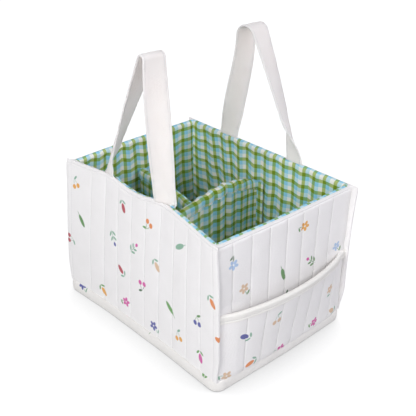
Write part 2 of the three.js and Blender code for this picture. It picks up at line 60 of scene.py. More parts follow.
def add(tree, kind, *values, inputs=None, bands=(), **settings):
    """Adds a node and gives its first output. Values go to its shown inputs in order, inputs names
    others, and bands are a colour ramp's steps: where each starts, and its colour."""
    made = tree.nodes.new(kind)
    for name, value in settings.items():
        setattr(made, name, value)
    for i, (start, colour) in enumerate(bands):
        ramp = made.color_ramp
        ramp.interpolation = "CONSTANT"
        element = ramp.elements[i] if i < 2 else ramp.elements.new(start)
        element.position = start
        element.color = linear(colour)
    shown = [socket for socket in made.inputs if socket.enabled]
    pairs = list(zip(shown, values))
    pairs += [(made.inputs[name], value) for name, value in (inputs or {}).items()]
    for socket, value in pairs:
        if isinstance(value, bpy.types.NodeSocket):
            tree.links.new(value, socket)
        else:
            socket.default_value = value
    return next((socket for socket in made.outputs if socket.enabled), made)


def new_material(name, roughness, sheen=0.0):
    """A material, and the two things that its pattern joins to: its tree and its shader."""
    material = bpy.data.materials.new(name)
    material.use_nodes = True
    tree = material.node_tree
    shader = tree.nodes["Principled BSDF"]
    shader.inputs["Roughness"].default_value = roughness
    shader.inputs["Sheen Weight"].default_value = sheen
    shader.inputs["Sheen Roughness"].default_value = 0.5
    shader.inputs["Specular IOR Level"].default_value = 0.25
    return material, tree, shader


MM = 0.001
BODY_LENGTH = 330
BODY_DEPTH = 246
CORNER = 12  # radius of the upright corners at the outside
WALL = 9.6  # outside of the quilting to the inside of the lining
SEAM = 0.3
QUILT_PITCH = 30
BASE_PANEL = 4  # thickness
BASE_PANEL_INSET = 3.8
BASE_LINING_LOW = 7.6
BASE_LINING = 2
BASE_CLEAR = 0.5  # the cloth of the base is thinner than its solids by this much
BASE_CHANNEL = 1.2  # depth of the channels under it
BASE_SLACK = 0.4  # rise and fall of its loose upper side
THREAD = 1.3  # spacing of the drawn weave: the real one, about 0.4, is too fine to show
WEAVE_RELIEF = 0.25 * MM
SLUBS_PER_MM = 0.35  # thicker stretches of the yarn
SLUB_RISE = 6.0  # against the rise of the threads
YARN_CLOUDS_PER_MM = 0.08  # paler and darker stretches of undyed yarn
CHECK_REPEAT = 19.2
RIM = 217
# Corners that stand out of square: where, how far at the foot and the rim, and how it grows between
LEANS = ((-165, -123, -6.8, 7, 1.6), (165, -123, -1.5, -5.5, 0.2), (165, 123, -5, -0.5, 3))
LEAN_REACH = 70
LEAN_WAY = Vector((0.67, 0.74, 0))
CHECK_BANDS = ((0, "#76931a"), (0.3, "#f6f6ee"), (0.65, "#94d4ee"))  # shares of the repeat
YARN_DEPTH = 3.4  # how far a crossing leans to the darker of its two yarns


def loft(name, outer, inner, cloth, material, closed=False):
    """A thin body between two skins, each rows of points along the piece. cloth has the fabric's
    own coordinates in millimetres, and one row more than the skins where the piece is closed."""
    rows, across = len(outer), len(outer[0])
    spans = rows if closed else rows - 1
    faces = []
    for i in range(spans):
        for j in range(across - 1):
            faces.append([(0, i, j), (0, i + 1, j), (0, i + 1, j + 1), (0, i, j + 1)])
            faces.append([(1, i, j + 1), (1, i + 1, j + 1), (1, i + 1, j), (1, i, j)])
        for j in (0, across - 1):
            side = [(0, i + 1, j), (0, i, j), (1, i, j), (1, i + 1, j)]
            faces.append(side if j == 0 else side[::-1])
    for i in () if closed else (0, rows - 1):
        for j in range(across - 1):
            end = [(0, i, j), (0, i, j + 1), (1, i, j + 1), (1, i, j)]
            faces.append(end if i == 0 else end[::-1])
    points = [MM * p for skin in (outer, inner) for row in skin for p in row]
    index = [[(skin * rows + i % rows) * across + j for skin, i, j in face] for face in faces]
    volume = 0
    for a, b, c, d in index:
        volume += (points[c] - points[a]).cross(points[d] - points[b]).dot(points[a])
    if volume < 0:
        faces = [face[::-1] for face in faces]
        index = [face[::-1] for face in index]
    mesh = bpy.data.meshes.new(name)
    mesh.from_pydata(points, [], index)
    layer = mesh.uv_layers.new(name="cloth")
    layer.uv.foreach_set("vector", [x for face in faces for _, i, j in face for x in cloth[i][j]])
    mesh.materials.append(material)
    mesh.shade_smooth()
    mesh.set_sharp_from_angle(angle=math.radians(60))
    obj = bpy.data.objects.new(name, mesh)
    bpy.context.scene.collection.objects.link(obj)
    return obj


def bell(off, width):
    """From 1 on a line to 0 well away from it."""
    return math.exp(-((off / width) ** 2))


def settled(point):
    """A point of the body as the soft caddy stands, leaning a little at three of its corners."""
    moved = 0
    for x, y, foot, rim, power in LEANS:
        near = bell(math.hypot(point.x - x, point.y - y), LEAN_REACH)
        moved += near * (foot + (rim - foot) * max(point.z / RIM, 0) ** power)
    return point + moved * LEAN_WAY


def ripple(x, y, seed, wave_x, wave_y):
    """Smooth noise from about -1 to 1, with its waves' lengths in millimetres."""
    return noise.noise(Vector((x / wave_x, y / wave_y, 7.3 * seed)))


def steps(low, high, count):
    return [low + (high - low) * i / count for i in range(count + 1)]


def woven_bump(tree, shader, cloth):
    """Raised threads across and along the fabric, with the odd thicker one."""
    across = add(tree, "ShaderNodeSeparateXYZ", cloth)
    sines = []
    for thread in (across, across.node.outputs["Y"]):
        turns = add(tree, "ShaderNodeMath", thread, 2 * math.pi / THREAD, operation="MULTIPLY")
        sines.append(add(tree, "ShaderNodeMath", turns, operation="SINE"))
    threads = add(tree, "ShaderNodeMath", *sines, operation="MULTIPLY")
    uneven = {"Vector": cloth, "Scale": SLUBS_PER_MM, "Detail": 4.0}
    slubs = add(tree, "ShaderNodeTexNoise", inputs=uneven)
    raised = add(tree, "ShaderNodeMath", slubs, SLUB_RISE, threads, operation="MULTIPLY_ADD")
    relief = {"Height": raised, "Strength": 0.35, "Distance": WEAVE_RELIEF}
    bump = add(tree, "ShaderNodeBump", inputs=relief)
    tree.links.new(bump, shader.inputs["Normal"])


# Check cotton is a plain weave of dyed yarns: olive green, off-white and sky blue both ways, so
# every crossing is a mix of two yarns, and it is quite matt
check_cotton, tree, shader = new_material("woven_check_cotton", 0.9, sheen=0.15)
cloth = add(tree, "ShaderNodeUVMap", uv_map="cloth")
across = add(tree, "ShaderNodeSeparateXYZ", cloth)
yarns = []
for way in (across, across.node.outputs["Y"]):
    repeats = add(tree, "ShaderNodeMath", way, 1 / CHECK_REPEAT, operation="MULTIPLY")
    share = add(tree, "ShaderNodeMath", repeats, operation="FRACT")
    stripes = add(tree, "ShaderNodeValToRGB", share, bands=CHECK_BANDS)
    yarns.append(add(tree, "ShaderNodeGamma", stripes, 1 / YARN_DEPTH))
mixed = add(tree, "ShaderNodeMix", 0.5, *yarns, data_type="RGBA")
crossing = add(tree, "ShaderNodeGamma", mixed, YARN_DEPTH)
tree.links.new(crossing, shader.inputs["Base Color"])
woven_bump(tree, shader, cloth)

# Ivory cotton is undyed and unprinted, with the faint warm unevenness of unbleached yarn
ivory_cotton, tree, shader = new_material("ivory_plain_weave_cotton", 0.9, sheen=0.15)
cloth = add(tree, "ShaderNodeUVMap", uv_map="cloth")
clouds = {"Vector": cloth, "Scale": YARN_CLOUDS_PER_MM, "Detail": 5.0}
uneven = add(tree, "ShaderNodeTexNoise", inputs=clouds)
yarn = add(tree, "ShaderNodeMix", uneven, linear("#ebe8e2"), linear("#f7f5f0"), data_type="RGBA")
tree.links.new(yarn, shader.inputs["Base Color"])
woven_bump(tree, shader, cloth)


def base_sheet(name, inset, low, high, material, channel_depth):
    """A flat rectangle with round corners, sewn in channels on its lower side."""
    half_x, half_y = BODY_LENGTH / 2 - inset, BODY_DEPTH / 2 - inset
    radius = max(CORNER - inset, 2)
    upper, lower, cloth = [], [], []
    for x in steps(-half_x, half_x, 110):
        past = max(0, abs(x) - half_x + radius)
        reach = half_y - radius + math.sqrt(max(radius**2 - past**2, 0))
        rows = [(x, y) for y in steps(-reach, reach, 48)]
        sewn = channel_depth * (1 - abs(math.sin(math.pi * x / QUILT_PITCH))) ** 1.5
        slack = [BASE_SLACK * ripple(x, y, 3, 45, 60) for x, y in rows]
        upper.append([settled(Vector((x, y, high + s))) for (x, y), s in zip(rows, slack)])
        lower.append([settled(Vector((x, y, low + sewn))) for x, y in rows])
        cloth.append(rows)
    return loft(name, upper, lower, cloth, material)


def dress(piece, slot, *solids, body="caddy"):
    """Rides a piece on its body, and hides the solids that it takes the place of. slot is not used."""
    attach(piece, body)
    if solids:
        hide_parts(*solids)


base_high = BASE_PANEL - BASE_CLEAR
base_outer = base_sheet("base_outer_quilt", BASE_PANEL_INSET, 0, base_high, ivory_cotton, BASE_CHANNEL)
dress(base_outer, "ivory_cotton", "base_outer_panel")

floor_inset = WALL + SEAM
floor_low = BASE_LINING_LOW + BASE_CLEAR
floor_high = BASE_LINING_LOW + BASE_LINING - BASE_CLEAR
base_inside = base_sheet("base_lining_sheet", floor_inset, floor_low, floor_high, check_cotton, 0)
dress(base_inside, "check_cotton", "base_lining")


# Outer panels: white printed cotton over thin wadding, quilted in upright channels about 30 mm
# wide. The four are joined at the corners in flat topstitched seams, which stand out past the ends.
FRONT_BOW = 14  # the front rim leans in by this much between its corners
BOW_POWER = 1.6
LEAN_FADES = ((-85, -165), (46, 162))  # the lean is full between these stretches, and fades in them
# How far the corner seams stand out past the ends, half-way up and at the rim: at each wall's two ends
FLANGES = {"front": ((5, 8), (5, 2)), "back": ((7, 8), (5, 8))}
FLANGE_RUN = 67  # they widen or narrow this far below the rim
FLANGE_FOOT = 45  # and from nothing at the foot, over this much
FLANGE_SHEET = 2.6  # their thickness
CORNER_RUN = CORNER * math.pi / 4  # half of a corner, along the outside
PANEL_LOW = 16.6
OUTER = 5  # thickness of a quilted panel
QUILT_SWELL = 0.7  # rise of a channel between its seams
# How much deeper the sewn lines of each wall are
QUILT_SEAMS = {"front": 0.5, "pocket_end": 1.0, "back": 0.6, "plain_end": 0.6}
SEWN_WIDTH = 0.7  # half the width of a sewn line
PUCKER = 0.35  # rise and fall of the cloth beside a sewn line
PUCKER_REACH = 6
SLACK = 0.5  # rise and fall of the loose cloth over a wall
FINE_SLACK = 0.25  # and across a channel
RIM_SEAM = 2.4  # the rim's topstitching below the rim
RIM_INSET = 1.6  # outside of the panel at the rim
EDGE_TOP = 0.4  # the turned edge stands this high above the rim
EDGE_SWELL = 0.2
LEG_PULLS = ((1.2, 45), (3.5, 105))  # each strap end pulls the front edge up: how much, and how far
LEG_SAG = 6  # it sags by this much between them
RISE_RUN = 60  # pulls and sag fade out over this much below the rim
EDGE_FOLD = 0.8  # the turned edge is drawn in by this much at its top
TIP_RISE = 0.3  # the corner tips stand this much higher
TIP_RUN = 15  # and start this far from the corner
TIP_THICKER = 3.4
CREASE = 8  # a topstitched crease runs down this far from each corner
CREASE_DEPTH = 0.6
CREASE_WIDTH = 0.9
CORNER_FLAT = 0.8  # the quilting is this much flatter at the corners
CORNER_TUCK = 0.4  # and drawn in by this much at their ends
RIM_DENT = 0.45  # depth of the rim's topstitching
RIM_DENT_WIDTH = 0.6
DRAG_UP = 127  # folds drawn out above the ends of the pocket
DRAG_DEPTH = 1.1
DRAG_WIDTH = 3.5
DRAG_RUMPLE = 0.4  # the pocket's pull rumples its wall by this much
DRAG_SEED = 77

# Each wall: half its length, its distance from the middle, its turn about Z, its lean at the rim,
# and the place of its first quilted line, the spacing and the number of lines
WALLS = {
    "front": (BODY_LENGTH / 2, BODY_DEPTH / 2, 0, FRONT_BOW, -116, 31.1, 9),
    "pocket_end": (BODY_DEPTH / 2, BODY_LENGTH / 2, math.pi / 2, 0, -95, 29.6, 7),
    "back": (BODY_LENGTH / 2, BODY_DEPTH / 2, math.pi, 0, -124, 31, 9),
    "plain_end": (BODY_DEPTH / 2, BODY_LENGTH / 2, -math.pi / 2, 0, -90, 30, 7),
}
SEEDS = {"front": 1, "pocket_end": 2, "back": 3, "plain_end": 4}

# Each handle: the middle of its legs along its wall, from there to each leg, its height above the
# fold line, and the place and radius of its top
HANDLES = {"front": (-20, 60, 190, 41, 6), "back": (6, 67, 177, 21, 15)}
STRAP_WIDTH = 32


def ease(share):
    """From 0 to 1 with a level start and end."""
    share = min(max(share, 0), 1)
    return share * share * (3 - 2 * share)


def on_wall(wall, along, inset, up, tight=True):
    """A point of a wall: along it and into its corner seams, or round its corners, in from its
    outside, and up."""
    half, distance, turn, bow = WALLS[wall][:4]
    flat = half - CORNER
    place, depth = abs(along), inset
    if place > flat:
        share = (place - flat) / CORNER_RUN
        if not tight:
            radius = max(CORNER - inset, 0.6)
            place = flat + radius * math.sin(share * math.pi / 4)
            depth = inset + radius * (1 - math.cos(share * math.pi / 4))
        elif wall in HANDLES:
            middle, top = FLANGES[wall][along > 0]
            seam = middle + (top - middle) * ease((up - RIM + FLANGE_RUN) / FLANGE_RUN)
            place = flat + share * (CORNER + seam * ease((up - PANEL_LOW + 4) / FLANGE_FOOT))
        else:
            place = flat + share * (CORNER - FLANGE_SHEET)
    place = math.copysign(place, along)
    fade = max(min(max((place - start) / (end - start), 0), 1) for start, end in LEAN_FADES)
    depth += bow * max(up / RIM, 0) ** BOW_POWER * (1 - fade)
    x = place * math.cos(turn) - (depth - distance) * math.sin(turn)
    y = place * math.sin(turn) + (depth - distance) * math.cos(turn)
    return settled(Vector((x, y, up)))


def quilt_lines(wall):
    first, pitch, count = WALLS[wall][4:]
    return [first + pitch * i for i in range(count)]


def quilt_stops(lines, flat):
    """Places along a wall, close together at each sewn line and through the corners."""
    beside = (0, 0.7, 1.5, 2.6, 4.2, 6.5, 9.5, 12.5)
    stops = {round(line + side * b, 2) for line in lines for b in beside for side in (-1, 1)}
    stops |= {round(side * (flat - b), 2) for b in (0, 4, 8, 12, 16) for side in (-1, 1)}
    stops = {s for s in stops if abs(s) <= flat}
    corner = [flat + CORNER_RUN * share for share in steps(0, 1, 9)[1:]]
    ordered = sorted(stops | set(corner) | {-c for c in corner})
    return [s for i, s in enumerate(ordered) if i == 0 or s - ordered[i - 1] > 0.3]


def sewn_in(along, up, lines, pitch, seed, seam):
    """How deep the quilting lies at a place: swelling channels, sewn lines and their puckers."""
    nearest = min(abs(along - line) for line in lines)
    share = min(1, 2 * nearest / pitch)
    swell = QUILT_SWELL * (1 - share) ** 1.8
    line = seam * bell(nearest, SEWN_WIDTH)
    pucker = PUCKER * ripple(along, up, seed, 9, 5) * bell(nearest, PUCKER_REACH)
    slack = SLACK * ripple(along, up, seed + 9, 70, 110)
    slack += FINE_SLACK * ripple(along, up, seed, 11, 90)
    return swell + line + pucker + slack


def corner_share(wall, along):
    """From 0 where a wall's corner starts to 1 at its end, and less than 0 before it."""
    return (abs(along) - WALLS[wall][0] + CORNER) / CORNER_RUN


def panel_depth(wall, along, up):
    """How far in the outside of a panel lies: quilting, corner crease, and the rim's topstitching."""
    inset = sewn_in(along, up, quilt_lines(wall), WALLS[wall][5], SEEDS[wall], QUILT_SEAMS[wall])
    past = corner_share(wall, along)
    if past > 0:
        inset *= 1 - CORNER_FLAT * ease(past)
    crease = bell(abs(along) - WALLS[wall][0] + CREASE, CREASE_WIDTH)
    inset += CREASE_DEPTH * (1 - ease((up - RIM + 12) / 8)) * crease
    inset += CORNER_TUCK * ease((past - 0.8) / 0.2)
    if wall == "pocket_end":
        inset += DRAG_RUMPLE * ripple(along + 0.6 * up, up, DRAG_SEED, 16, 60)
        fold = up - DRAG_UP - 0.1 * (abs(along) - 90)
        inset += DRAG_DEPTH * bell(fold, DRAG_WIDTH) * ease((abs(along) - 60) / 30)
    seam = up - RIM + RIM_SEAM
    inset += (RIM_INSET - inset) * ease((seam + 3) / 4)
    inset += RIM_DENT * bell(seam, RIM_DENT_WIDTH)
    turned = min(max(seam / (RIM_SEAM + EDGE_TOP), 0), 1)
    return inset - EDGE_SWELL * math.sin(math.pi * turned) ** 0.8


def legs_of(wall):
    """Where the legs of a wall's handle stand along it."""
    if wall not in HANDLES:
        return []
    middle, spread = HANDLES[wall][:2]
    return [middle - spread, middle + spread]


def edge_rise(wall, along):
    """How far the rim's edge is pulled up beside the straps, and sags between them."""
    if wall != "front":
        return 0
    middle, spread = HANDLES[wall][:2]
    pulled = 0
    for leg, (pull, reach) in zip(legs_of(wall), LEG_PULLS):
        beside = max(abs(along - leg) - STRAP_WIDTH / 2, 0)
        pulled = max(pulled, pull * (1 - beside / reach))
    return pulled - LEG_SAG * ease((spread - abs(along - middle)) / spread)


def lifted(wall, along, up):
    """How high a place on a panel lies with its edge pulled up."""
    return up + edge_rise(wall, along) * ease((up - RIM + RISE_RUN) / RISE_RUN)


def tip_share(wall, along):
    return ease((abs(along) - WALLS[wall][0] + TIP_RUN) / (TIP_RUN - 6))


def motif(tree, local, centre, size, turn):
    """A soft-edged ellipse: 1 inside, 0 outside. Sizes are in millimetres."""
    turned = (0, 0, math.radians(turn))
    inputs = {"Location": (*centre, 0), "Rotation": turned, "Scale": (*size, 1)}
    unit = add(tree, "ShaderNodeMapping", local, inputs=inputs, vector_type="TEXTURE")
    reach = add(tree, "ShaderNodeVectorMath", unit, operation="LENGTH").node.outputs["Value"]
    sharp = 3.0 * min(size)
    return add(tree, "ShaderNodeMath", reach, -sharp, sharp, operation="MULTIPLY_ADD", use_clamp=True)


LEAVES = ("#4f8a3f", "#7fae93", "#2f6238", "#5d9a4a")
BLOOMS = ("#e2812f", "#b0243a", "#d9b896", "#d13d9b", "#3f479a", "#d9b896", "#e5a12b", "#a9c4e6")
MOTIF_SPACING = (56, 49)  # millimetres between the printed motifs, across and up
MOTIF_SIZE = 1.5  # the motifs are drawn about 14 mm long, and printed larger by this
ROW_SHIFT = 0.38  # each row starts this much further along
OTHER_DRAW = (17.3, 5.1, 2.7)  # a second draw of lots for each motif
SCATTER = (-0.34, -0.3, 0)  # of a motif in its place, as a share of the spacing
SCATTER_FROM = (-0.33, -0.35, 0)
BLEACH_CLOUDS_PER_MM = 0.03  # paler and darker stretches of bleached cloth
INK = 0.9  # how much the ink covers


def printed_cotton(name, ground, share):
    """White cotton with small printed sprigs, berries, blossoms and leaves, scattered and turned
    every way. share is how many of their places are printed."""
    material, tree, shader = new_material(name, 0.9, sheen=0.15)
    cloth = add(tree, "ShaderNodeUVMap", uv_map="cloth")
    cells = add(tree, "ShaderNodeVectorMath", cloth, (*MOTIF_SPACING, 1), operation="DIVIDE")
    parts = add(tree, "ShaderNodeSeparateXYZ", cells)
    row = add(tree, "ShaderNodeMath", parts.node.outputs["Y"], operation="FLOOR")
    shift = add(tree, "ShaderNodeMath", row, ROW_SHIFT, parts, operation="MULTIPLY_ADD")
    brick = add(tree, "ShaderNodeCombineXYZ", shift, parts.node.outputs["Y"])
    cell = add(tree, "ShaderNodeVectorMath", brick, operation="FLOOR")
    inside = add(tree, "ShaderNodeVectorMath", brick, operation="FRACTION")
    chance = add(tree, "ShaderNodeTexWhiteNoise", cell).node.outputs["Color"]
    other = add(tree, "ShaderNodeVectorMath", cell, OTHER_DRAW, operation="ADD")
    choice = add(tree, "ShaderNodeTexWhiteNoise", other).node.outputs["Color"]
    spin = add(tree, "ShaderNodeSeparateXYZ", chance)
    pick = add(tree, "ShaderNodeSeparateXYZ", choice)
    ways = (chance, SCATTER, SCATTER_FROM)
    scatter = add(tree, "ShaderNodeVectorMath", *ways, operation="MULTIPLY_ADD")
    centred = add(tree, "ShaderNodeVectorMath", inside, scatter, operation="ADD")
    spacing = [distance / MOTIF_SIZE for distance in MOTIF_SPACING]
    flat = add(tree, "ShaderNodeVectorMath", centred, (*spacing, 0), operation="MULTIPLY")
    angle = add(tree, "ShaderNodeMath", spin.node.outputs["Z"], 2 * math.pi, operation="MULTIPLY")
    turned = {"Vector": flat, "Angle": angle}
    local = add(tree, "ShaderNodeVectorRotate", inputs=turned, rotation_type="Z_AXIS")
    sides = add(tree, "ShaderNodeSeparateXYZ", local)
    folded = add(tree, "ShaderNodeMath", sides, operation="ABSOLUTE")
    mirror = add(tree, "ShaderNodeCombineXYZ", folded, sides.node.outputs["Y"])
    # Each motif: its leaves and stems, its coloured parts, as plain or mirrored ellipses
    motifs = (
        (
            [
                (local, (0, 0), (0.5, 8.5), 0),
                (mirror, (2.6, -2.6), (3.4, 1.3), 50),
                (mirror, (2.3, 2.4), (3, 1.2), 50),
            ],
            [(local, (0, 8), (1.7, 2.4), 0)],
        ),
        (
            [(mirror, (1.5, 3), (0.45, 3.6), 25), (local, (2.4, 6.6), (3.1, 1.3), 25)],
            [(mirror, (2.9, -1.6), (2.5, 2.6), 0)],
        ),
        (
            [(local, (0, -6), (0.5, 4), 0), (local, (2.2, -7), (2.6, 1.1), 35)],
            [
                (local, (0, 2.9), (1.7, 2.4), 0),
                (mirror, (2.8, 0.9), (2.4, 1.7), 18),
                (mirror, (1.7, -2.4), (1.7, 2.4), 35),
            ],
        ),
        ([(local, (0, 0), (2.5, 7.5), 0), (local, (0, -8.5), (0.5, 3), 0)], []),
        (
            [(mirror, (2.6, -4.5), (3.2, 1.2), 40)],
            [(local, (0, 1.5), (2.7, 5.2), 0)],
        ),
    )
    kind = add(tree, "ShaderNodeMath", pick, len(motifs) / share, operation="MULTIPLY")
    number = add(tree, "ShaderNodeMath", kind, operation="FLOOR")
    masks = [None, None]
    for i, parts_of in enumerate(motifs):
        chosen = add(tree, "ShaderNodeMath", number, float(i), 0.1, operation="COMPARE")
        for layer, ellipses in enumerate(parts_of):
            for ellipse in ellipses:
                drawn = motif(tree, *ellipse)
                shown = add(tree, "ShaderNodeMath", drawn, chosen, operation="MULTIPLY")
                if masks[layer]:
                    shown = add(tree, "ShaderNodeMath", masks[layer], shown, operation="MAXIMUM")
                masks[layer] = shown
    clouds = {"Vector": cloth, "Scale": BLEACH_CLOUDS_PER_MM, "Detail": 4.0}
    uneven = add(tree, "ShaderNodeTexNoise", inputs=clouds)
    tones = [linear(colour) for colour in ground]
    dyed = add(tree, "ShaderNodeMix", uneven, *tones, data_type="RGBA")
    for mask, chosen, colours in zip(masks, ("Y", "Z"), (LEAVES, BLOOMS)):
        bands = [(i / len(colours), colour) for i, colour in enumerate(colours)]
        ink = add(tree, "ShaderNodeValToRGB", pick.node.outputs[chosen], bands=bands)
        thin = add(tree, "ShaderNodeMath", mask, INK, operation="MULTIPLY")
        dyed = add(tree, "ShaderNodeMix", thin, dyed, ink, data_type="RGBA")
    tree.links.new(dyed, shader.inputs["Base Color"])
    woven_bump(tree, shader, cloth)
    return material


# The printed cotton is bleached and matt, and its motifs are flat, slightly absorbed ink
white_print = printed_cotton("white_printed_quilting_cotton", ("#eeecea", "#f8f6f5"), 0.88)
ivory_print = printed_cotton("ivory_printed_cotton", ("#eae7e2", "#f4f2ee"), 0.94)


def panel_heights():
    low = steps(PANEL_LOW, RIM - RIM_SEAM - 5, 44)
    beside = (-3.6, -2.5, -1.6, -1, -0.5, 0, 0.5, 1, 1.6, 2.2, 2.7, 3.1, 3.4, 3.7, 4)
    return low + [RIM - RIM_SEAM + d for d in beside]


PRINT_DROP = 14
SHOWN_AT = {"front": 0, "pocket_end": 390, "back": 682, "plain_end": 1130}  # where the print is cut


def edge_fold(up):
    """How far the turned edge is drawn in at a height."""
    return EDGE_FOLD * ease(up - RIM - EDGE_TOP + 1)


def panel_height(wall, along, up):
    return lifted(wall, along, up) + TIP_RISE * tip_share(wall, along) * ease((up - RIM + 6) / 6)


def panel_outside(wall, along, up):
    """How far in a panel's outside lies at a place, and how high."""
    return panel_depth(wall, along, up) + edge_fold(up), panel_height(wall, along, up)


def panel_inside(wall, along, up):
    """The same for its inside. It is thicker at the corner tips, and thin in the corner seams."""
    thin = ease((corner_share(wall, along) - 0.3) / 0.4) if wall in HANDLES else 0
    tip = TIP_THICKER * tip_share(wall, along) * ease((up - RIM + 4) / 3)
    back = OUTER + tip * (1 - thin) + (FLANGE_SHEET - OUTER) * thin
    return back - 0.4 * edge_fold(up), panel_height(wall, along, up)


def print_at(wall, along, up):
    """Where a panel's cloth is cut for a place, laid flat into the corner seams."""
    reach = CORNER + (FLANGES[wall][along > 0][0] if wall in HANDLES else -FLANGE_SHEET)
    past = max(corner_share(wall, along), 0) * (reach - CORNER_RUN)
    return along + math.copysign(past, along) + SHOWN_AT[wall], up - PRINT_DROP


def wall_sheet(name, wall, stops, ups, faces, cut, material, tight=True):
    """A sheet on a wall. Its two faces give how far in a place lies and how high, and cut gives where
    the cloth is cut for it."""
    pair = []
    for face in faces:
        pair.append([[on_wall(wall, a, *face(wall, a, up), tight) for up in ups] for a in stops])
    cloth = [[cut(wall, a, up) for up in ups] for a in stops]
    return loft(name, *pair, cloth, material)


for wall in WALLS:
    stops = quilt_stops(quilt_lines(wall), WALLS[wall][0] - CORNER)
    faces = (panel_outside, panel_inside)
    name = f"{wall}_quilted_panel"
    panel = wall_sheet(name, wall, stops, panel_heights(), faces, print_at, white_print)
    dress(panel, "quilted_cotton", f"{wall}_outer_panel")


# Stitching of the panels: white cotton thread, sewn by machine with about eight stitches to the
# inch, down every channel and along the rim.
PER_MM = 1000  # Object coordinates are in metres, and a pattern's scale is worked out per millimetre
STITCH_PITCH = 3.2
STITCH_LENGTH = 2.5
THREAD_WIDTH = 0.45


def new_tree(name, inputs):
    """A Geometry Nodes tree with its named inputs, and what goes into it."""
    tree = bpy.data.node_groups.new(name, "GeometryNodeTree")
    tree.interface.new_socket("Geometry", in_out="OUTPUT", socket_type="NodeSocketGeometry")
    tree.interface.new_socket("Geometry", in_out="INPUT", socket_type="NodeSocketGeometry")
    for label, kind in inputs:
        tree.interface.new_socket(label, in_out="INPUT", socket_type=f"NodeSocket{kind}")
    return tree, tree.nodes.new("NodeGroupInput").outputs


def made_by(tree, name, mesh, values):
    """The plain mesh that a tree makes from a mesh, as an object of its own."""
    start = bpy.data.objects.new(name + "_path", mesh)
    bpy.context.scene.collection.objects.link(start)
    modifier = start.modifiers.new("made", "NODES")
    modifier.node_group = tree
    for socket in tree.interface.items_tree:
        if socket.in_out == "INPUT" and socket.name in values:
            modifier[socket.identifier] = values[socket.name]
    evaluated = start.evaluated_get(bpy.context.evaluated_depsgraph_get())
    made = bpy.data.objects.new(name, bpy.data.meshes.new_from_object(evaluated))
    start.modifiers.clear()
    bpy.data.objects.remove(start)
    bpy.context.scene.collection.objects.link(made)
    return made


stitch_tree, given = new_tree(
    "Row of stitches",
    [("Pitch", "Float"), ("Stitch length", "Float"), ("Thread width", "Float"), ("Thread", "Material")],
)
curve = add(stitch_tree, "GeometryNodeMeshToCurve", given["Geometry"])
resampled = {"Curve": curve, "Length": given["Pitch"]}
row = add(stitch_tree, "GeometryNodeResampleCurve", inputs=resampled, mode="LENGTH")
bead = add(stitch_tree, "GeometryNodeMeshUVSphere", 6, 4, 0.5)
heading = add(stitch_tree, "GeometryNodeInputTangent")
turned = add(stitch_tree, "FunctionNodeAlignRotationToVector", inputs={"Vector": heading}, axis="X")
thick = given["Thread width"]
size = add(stitch_tree, "ShaderNodeCombineXYZ", given["Stitch length"], thick, thick)
placed = {"Points": row, "Instance": bead, "Rotation": turned, "Scale": size}
sewn = add(stitch_tree, "GeometryNodeInstanceOnPoints", inputs=placed)
real = add(stitch_tree, "GeometryNodeRealizeInstances", sewn)
smooth = add(stitch_tree, "GeometryNodeSetShadeSmooth", real)
coloured = {"Geometry": smooth, "Material": given["Thread"]}
finished = add(stitch_tree, "GeometryNodeSetMaterial", inputs=coloured)
add(stitch_tree, "NodeGroupOutput", finished)


def speckled(name, roughness, sheen, kind, size, colours, relief=None, **inputs):
    """A material in two tones, mixed by flecks or cells of a size in millimetres. relief is their
    strength and height, where they stand up."""
    material, tree, shader = new_material(name, roughness, sheen)
    place = add(tree, "ShaderNodeTexCoord").node.outputs["Object"]
    flecks = add(tree, kind, inputs={"Vector": place, "Scale": PER_MM / size, **inputs})
    tones = [linear(colour) for colour in colours]
    tone = add(tree, "ShaderNodeMix", flecks, *tones, data_type="RGBA")
    tree.links.new(tone, shader.inputs["Base Color"])
    if relief:
        strength, height = relief
        raised = {"Height": flecks, "Strength": strength, "Distance": height * MM}
        tree.links.new(add(tree, "ShaderNodeBump", inputs=raised), shader.inputs["Normal"])
    return material


# Sewing thread is mercerised cotton, twisted, so it has a slight gloss and fine slanting ridges.
# The thread is white, but it is drawn grey: painted shade of the grooves that the stitches sink into.
plies_in_painted_shade = ("ShaderNodeTexNoise", 0.8, ("#aeacad", "#d2d0d0"))
thread_in_painted_shade = speckled("cotton_thread_greyed_as_painted_shade", 0.55, 0.1, *plies_in_painted_shade, (0.3, 0.1), Detail=2.0)


def stitched(name, rows, width=THREAD_WIDTH):
    """Rows of stitches along lines of points in millimetres."""
    points, edges = [], []
    for line in rows:
        edges += [(len(points) + i, len(points) + i + 1) for i in range(len(line) - 1)]
        points += [MM * p for p in line]
    mesh = bpy.data.meshes.new(name + "_lines")
    mesh.from_pydata(points, edges, [])
    values = {
        "Pitch": STITCH_PITCH * MM,
        "Stitch length": STITCH_LENGTH * MM,
        "Thread width": width * MM,
        "Thread": thread_in_painted_shade,
    }
    return made_by(stitch_tree, name, mesh, values)


THREAD_LIFT = 0.05  # middle of a stitch outside the fabric


def sewn_at(wall, along, up):
    return on_wall(wall, along, panel_depth(wall, along, up) - THREAD_LIFT, lifted(wall, along, up))


for wall in WALLS:
    half = WALLS[wall][0]
    ups = steps(PANEL_LOW + 2, RIM - RIM_SEAM - 3, 60)
    rows = [[sewn_at(wall, line, up) for up in ups] for line in quilt_lines(wall)]
    ups = steps(PANEL_LOW + 2, RIM - 1, 60)
    for line in (CREASE - half, half - CREASE) if wall in HANDLES else ():
        rows.append([on_wall(wall, line, panel_depth(wall, line, up) - THREAD_LIFT, up) for up in ups])
    edge = steps(-half + CORNER, half - CORNER, 150)
    rows.append([sewn_at(wall, along, RIM - RIM_SEAM) for along in edge])
    dress(stitched(f"{wall}_quilting_stitches", rows), "quilted_cotton")


# Stiffening boards: sheets of grey chipboard between the quilting and the lining, four in the
# walls and one in the base, pressed from waste paper and cut to size.
BOARD_INSET = 5.3
BOARD = 2.4

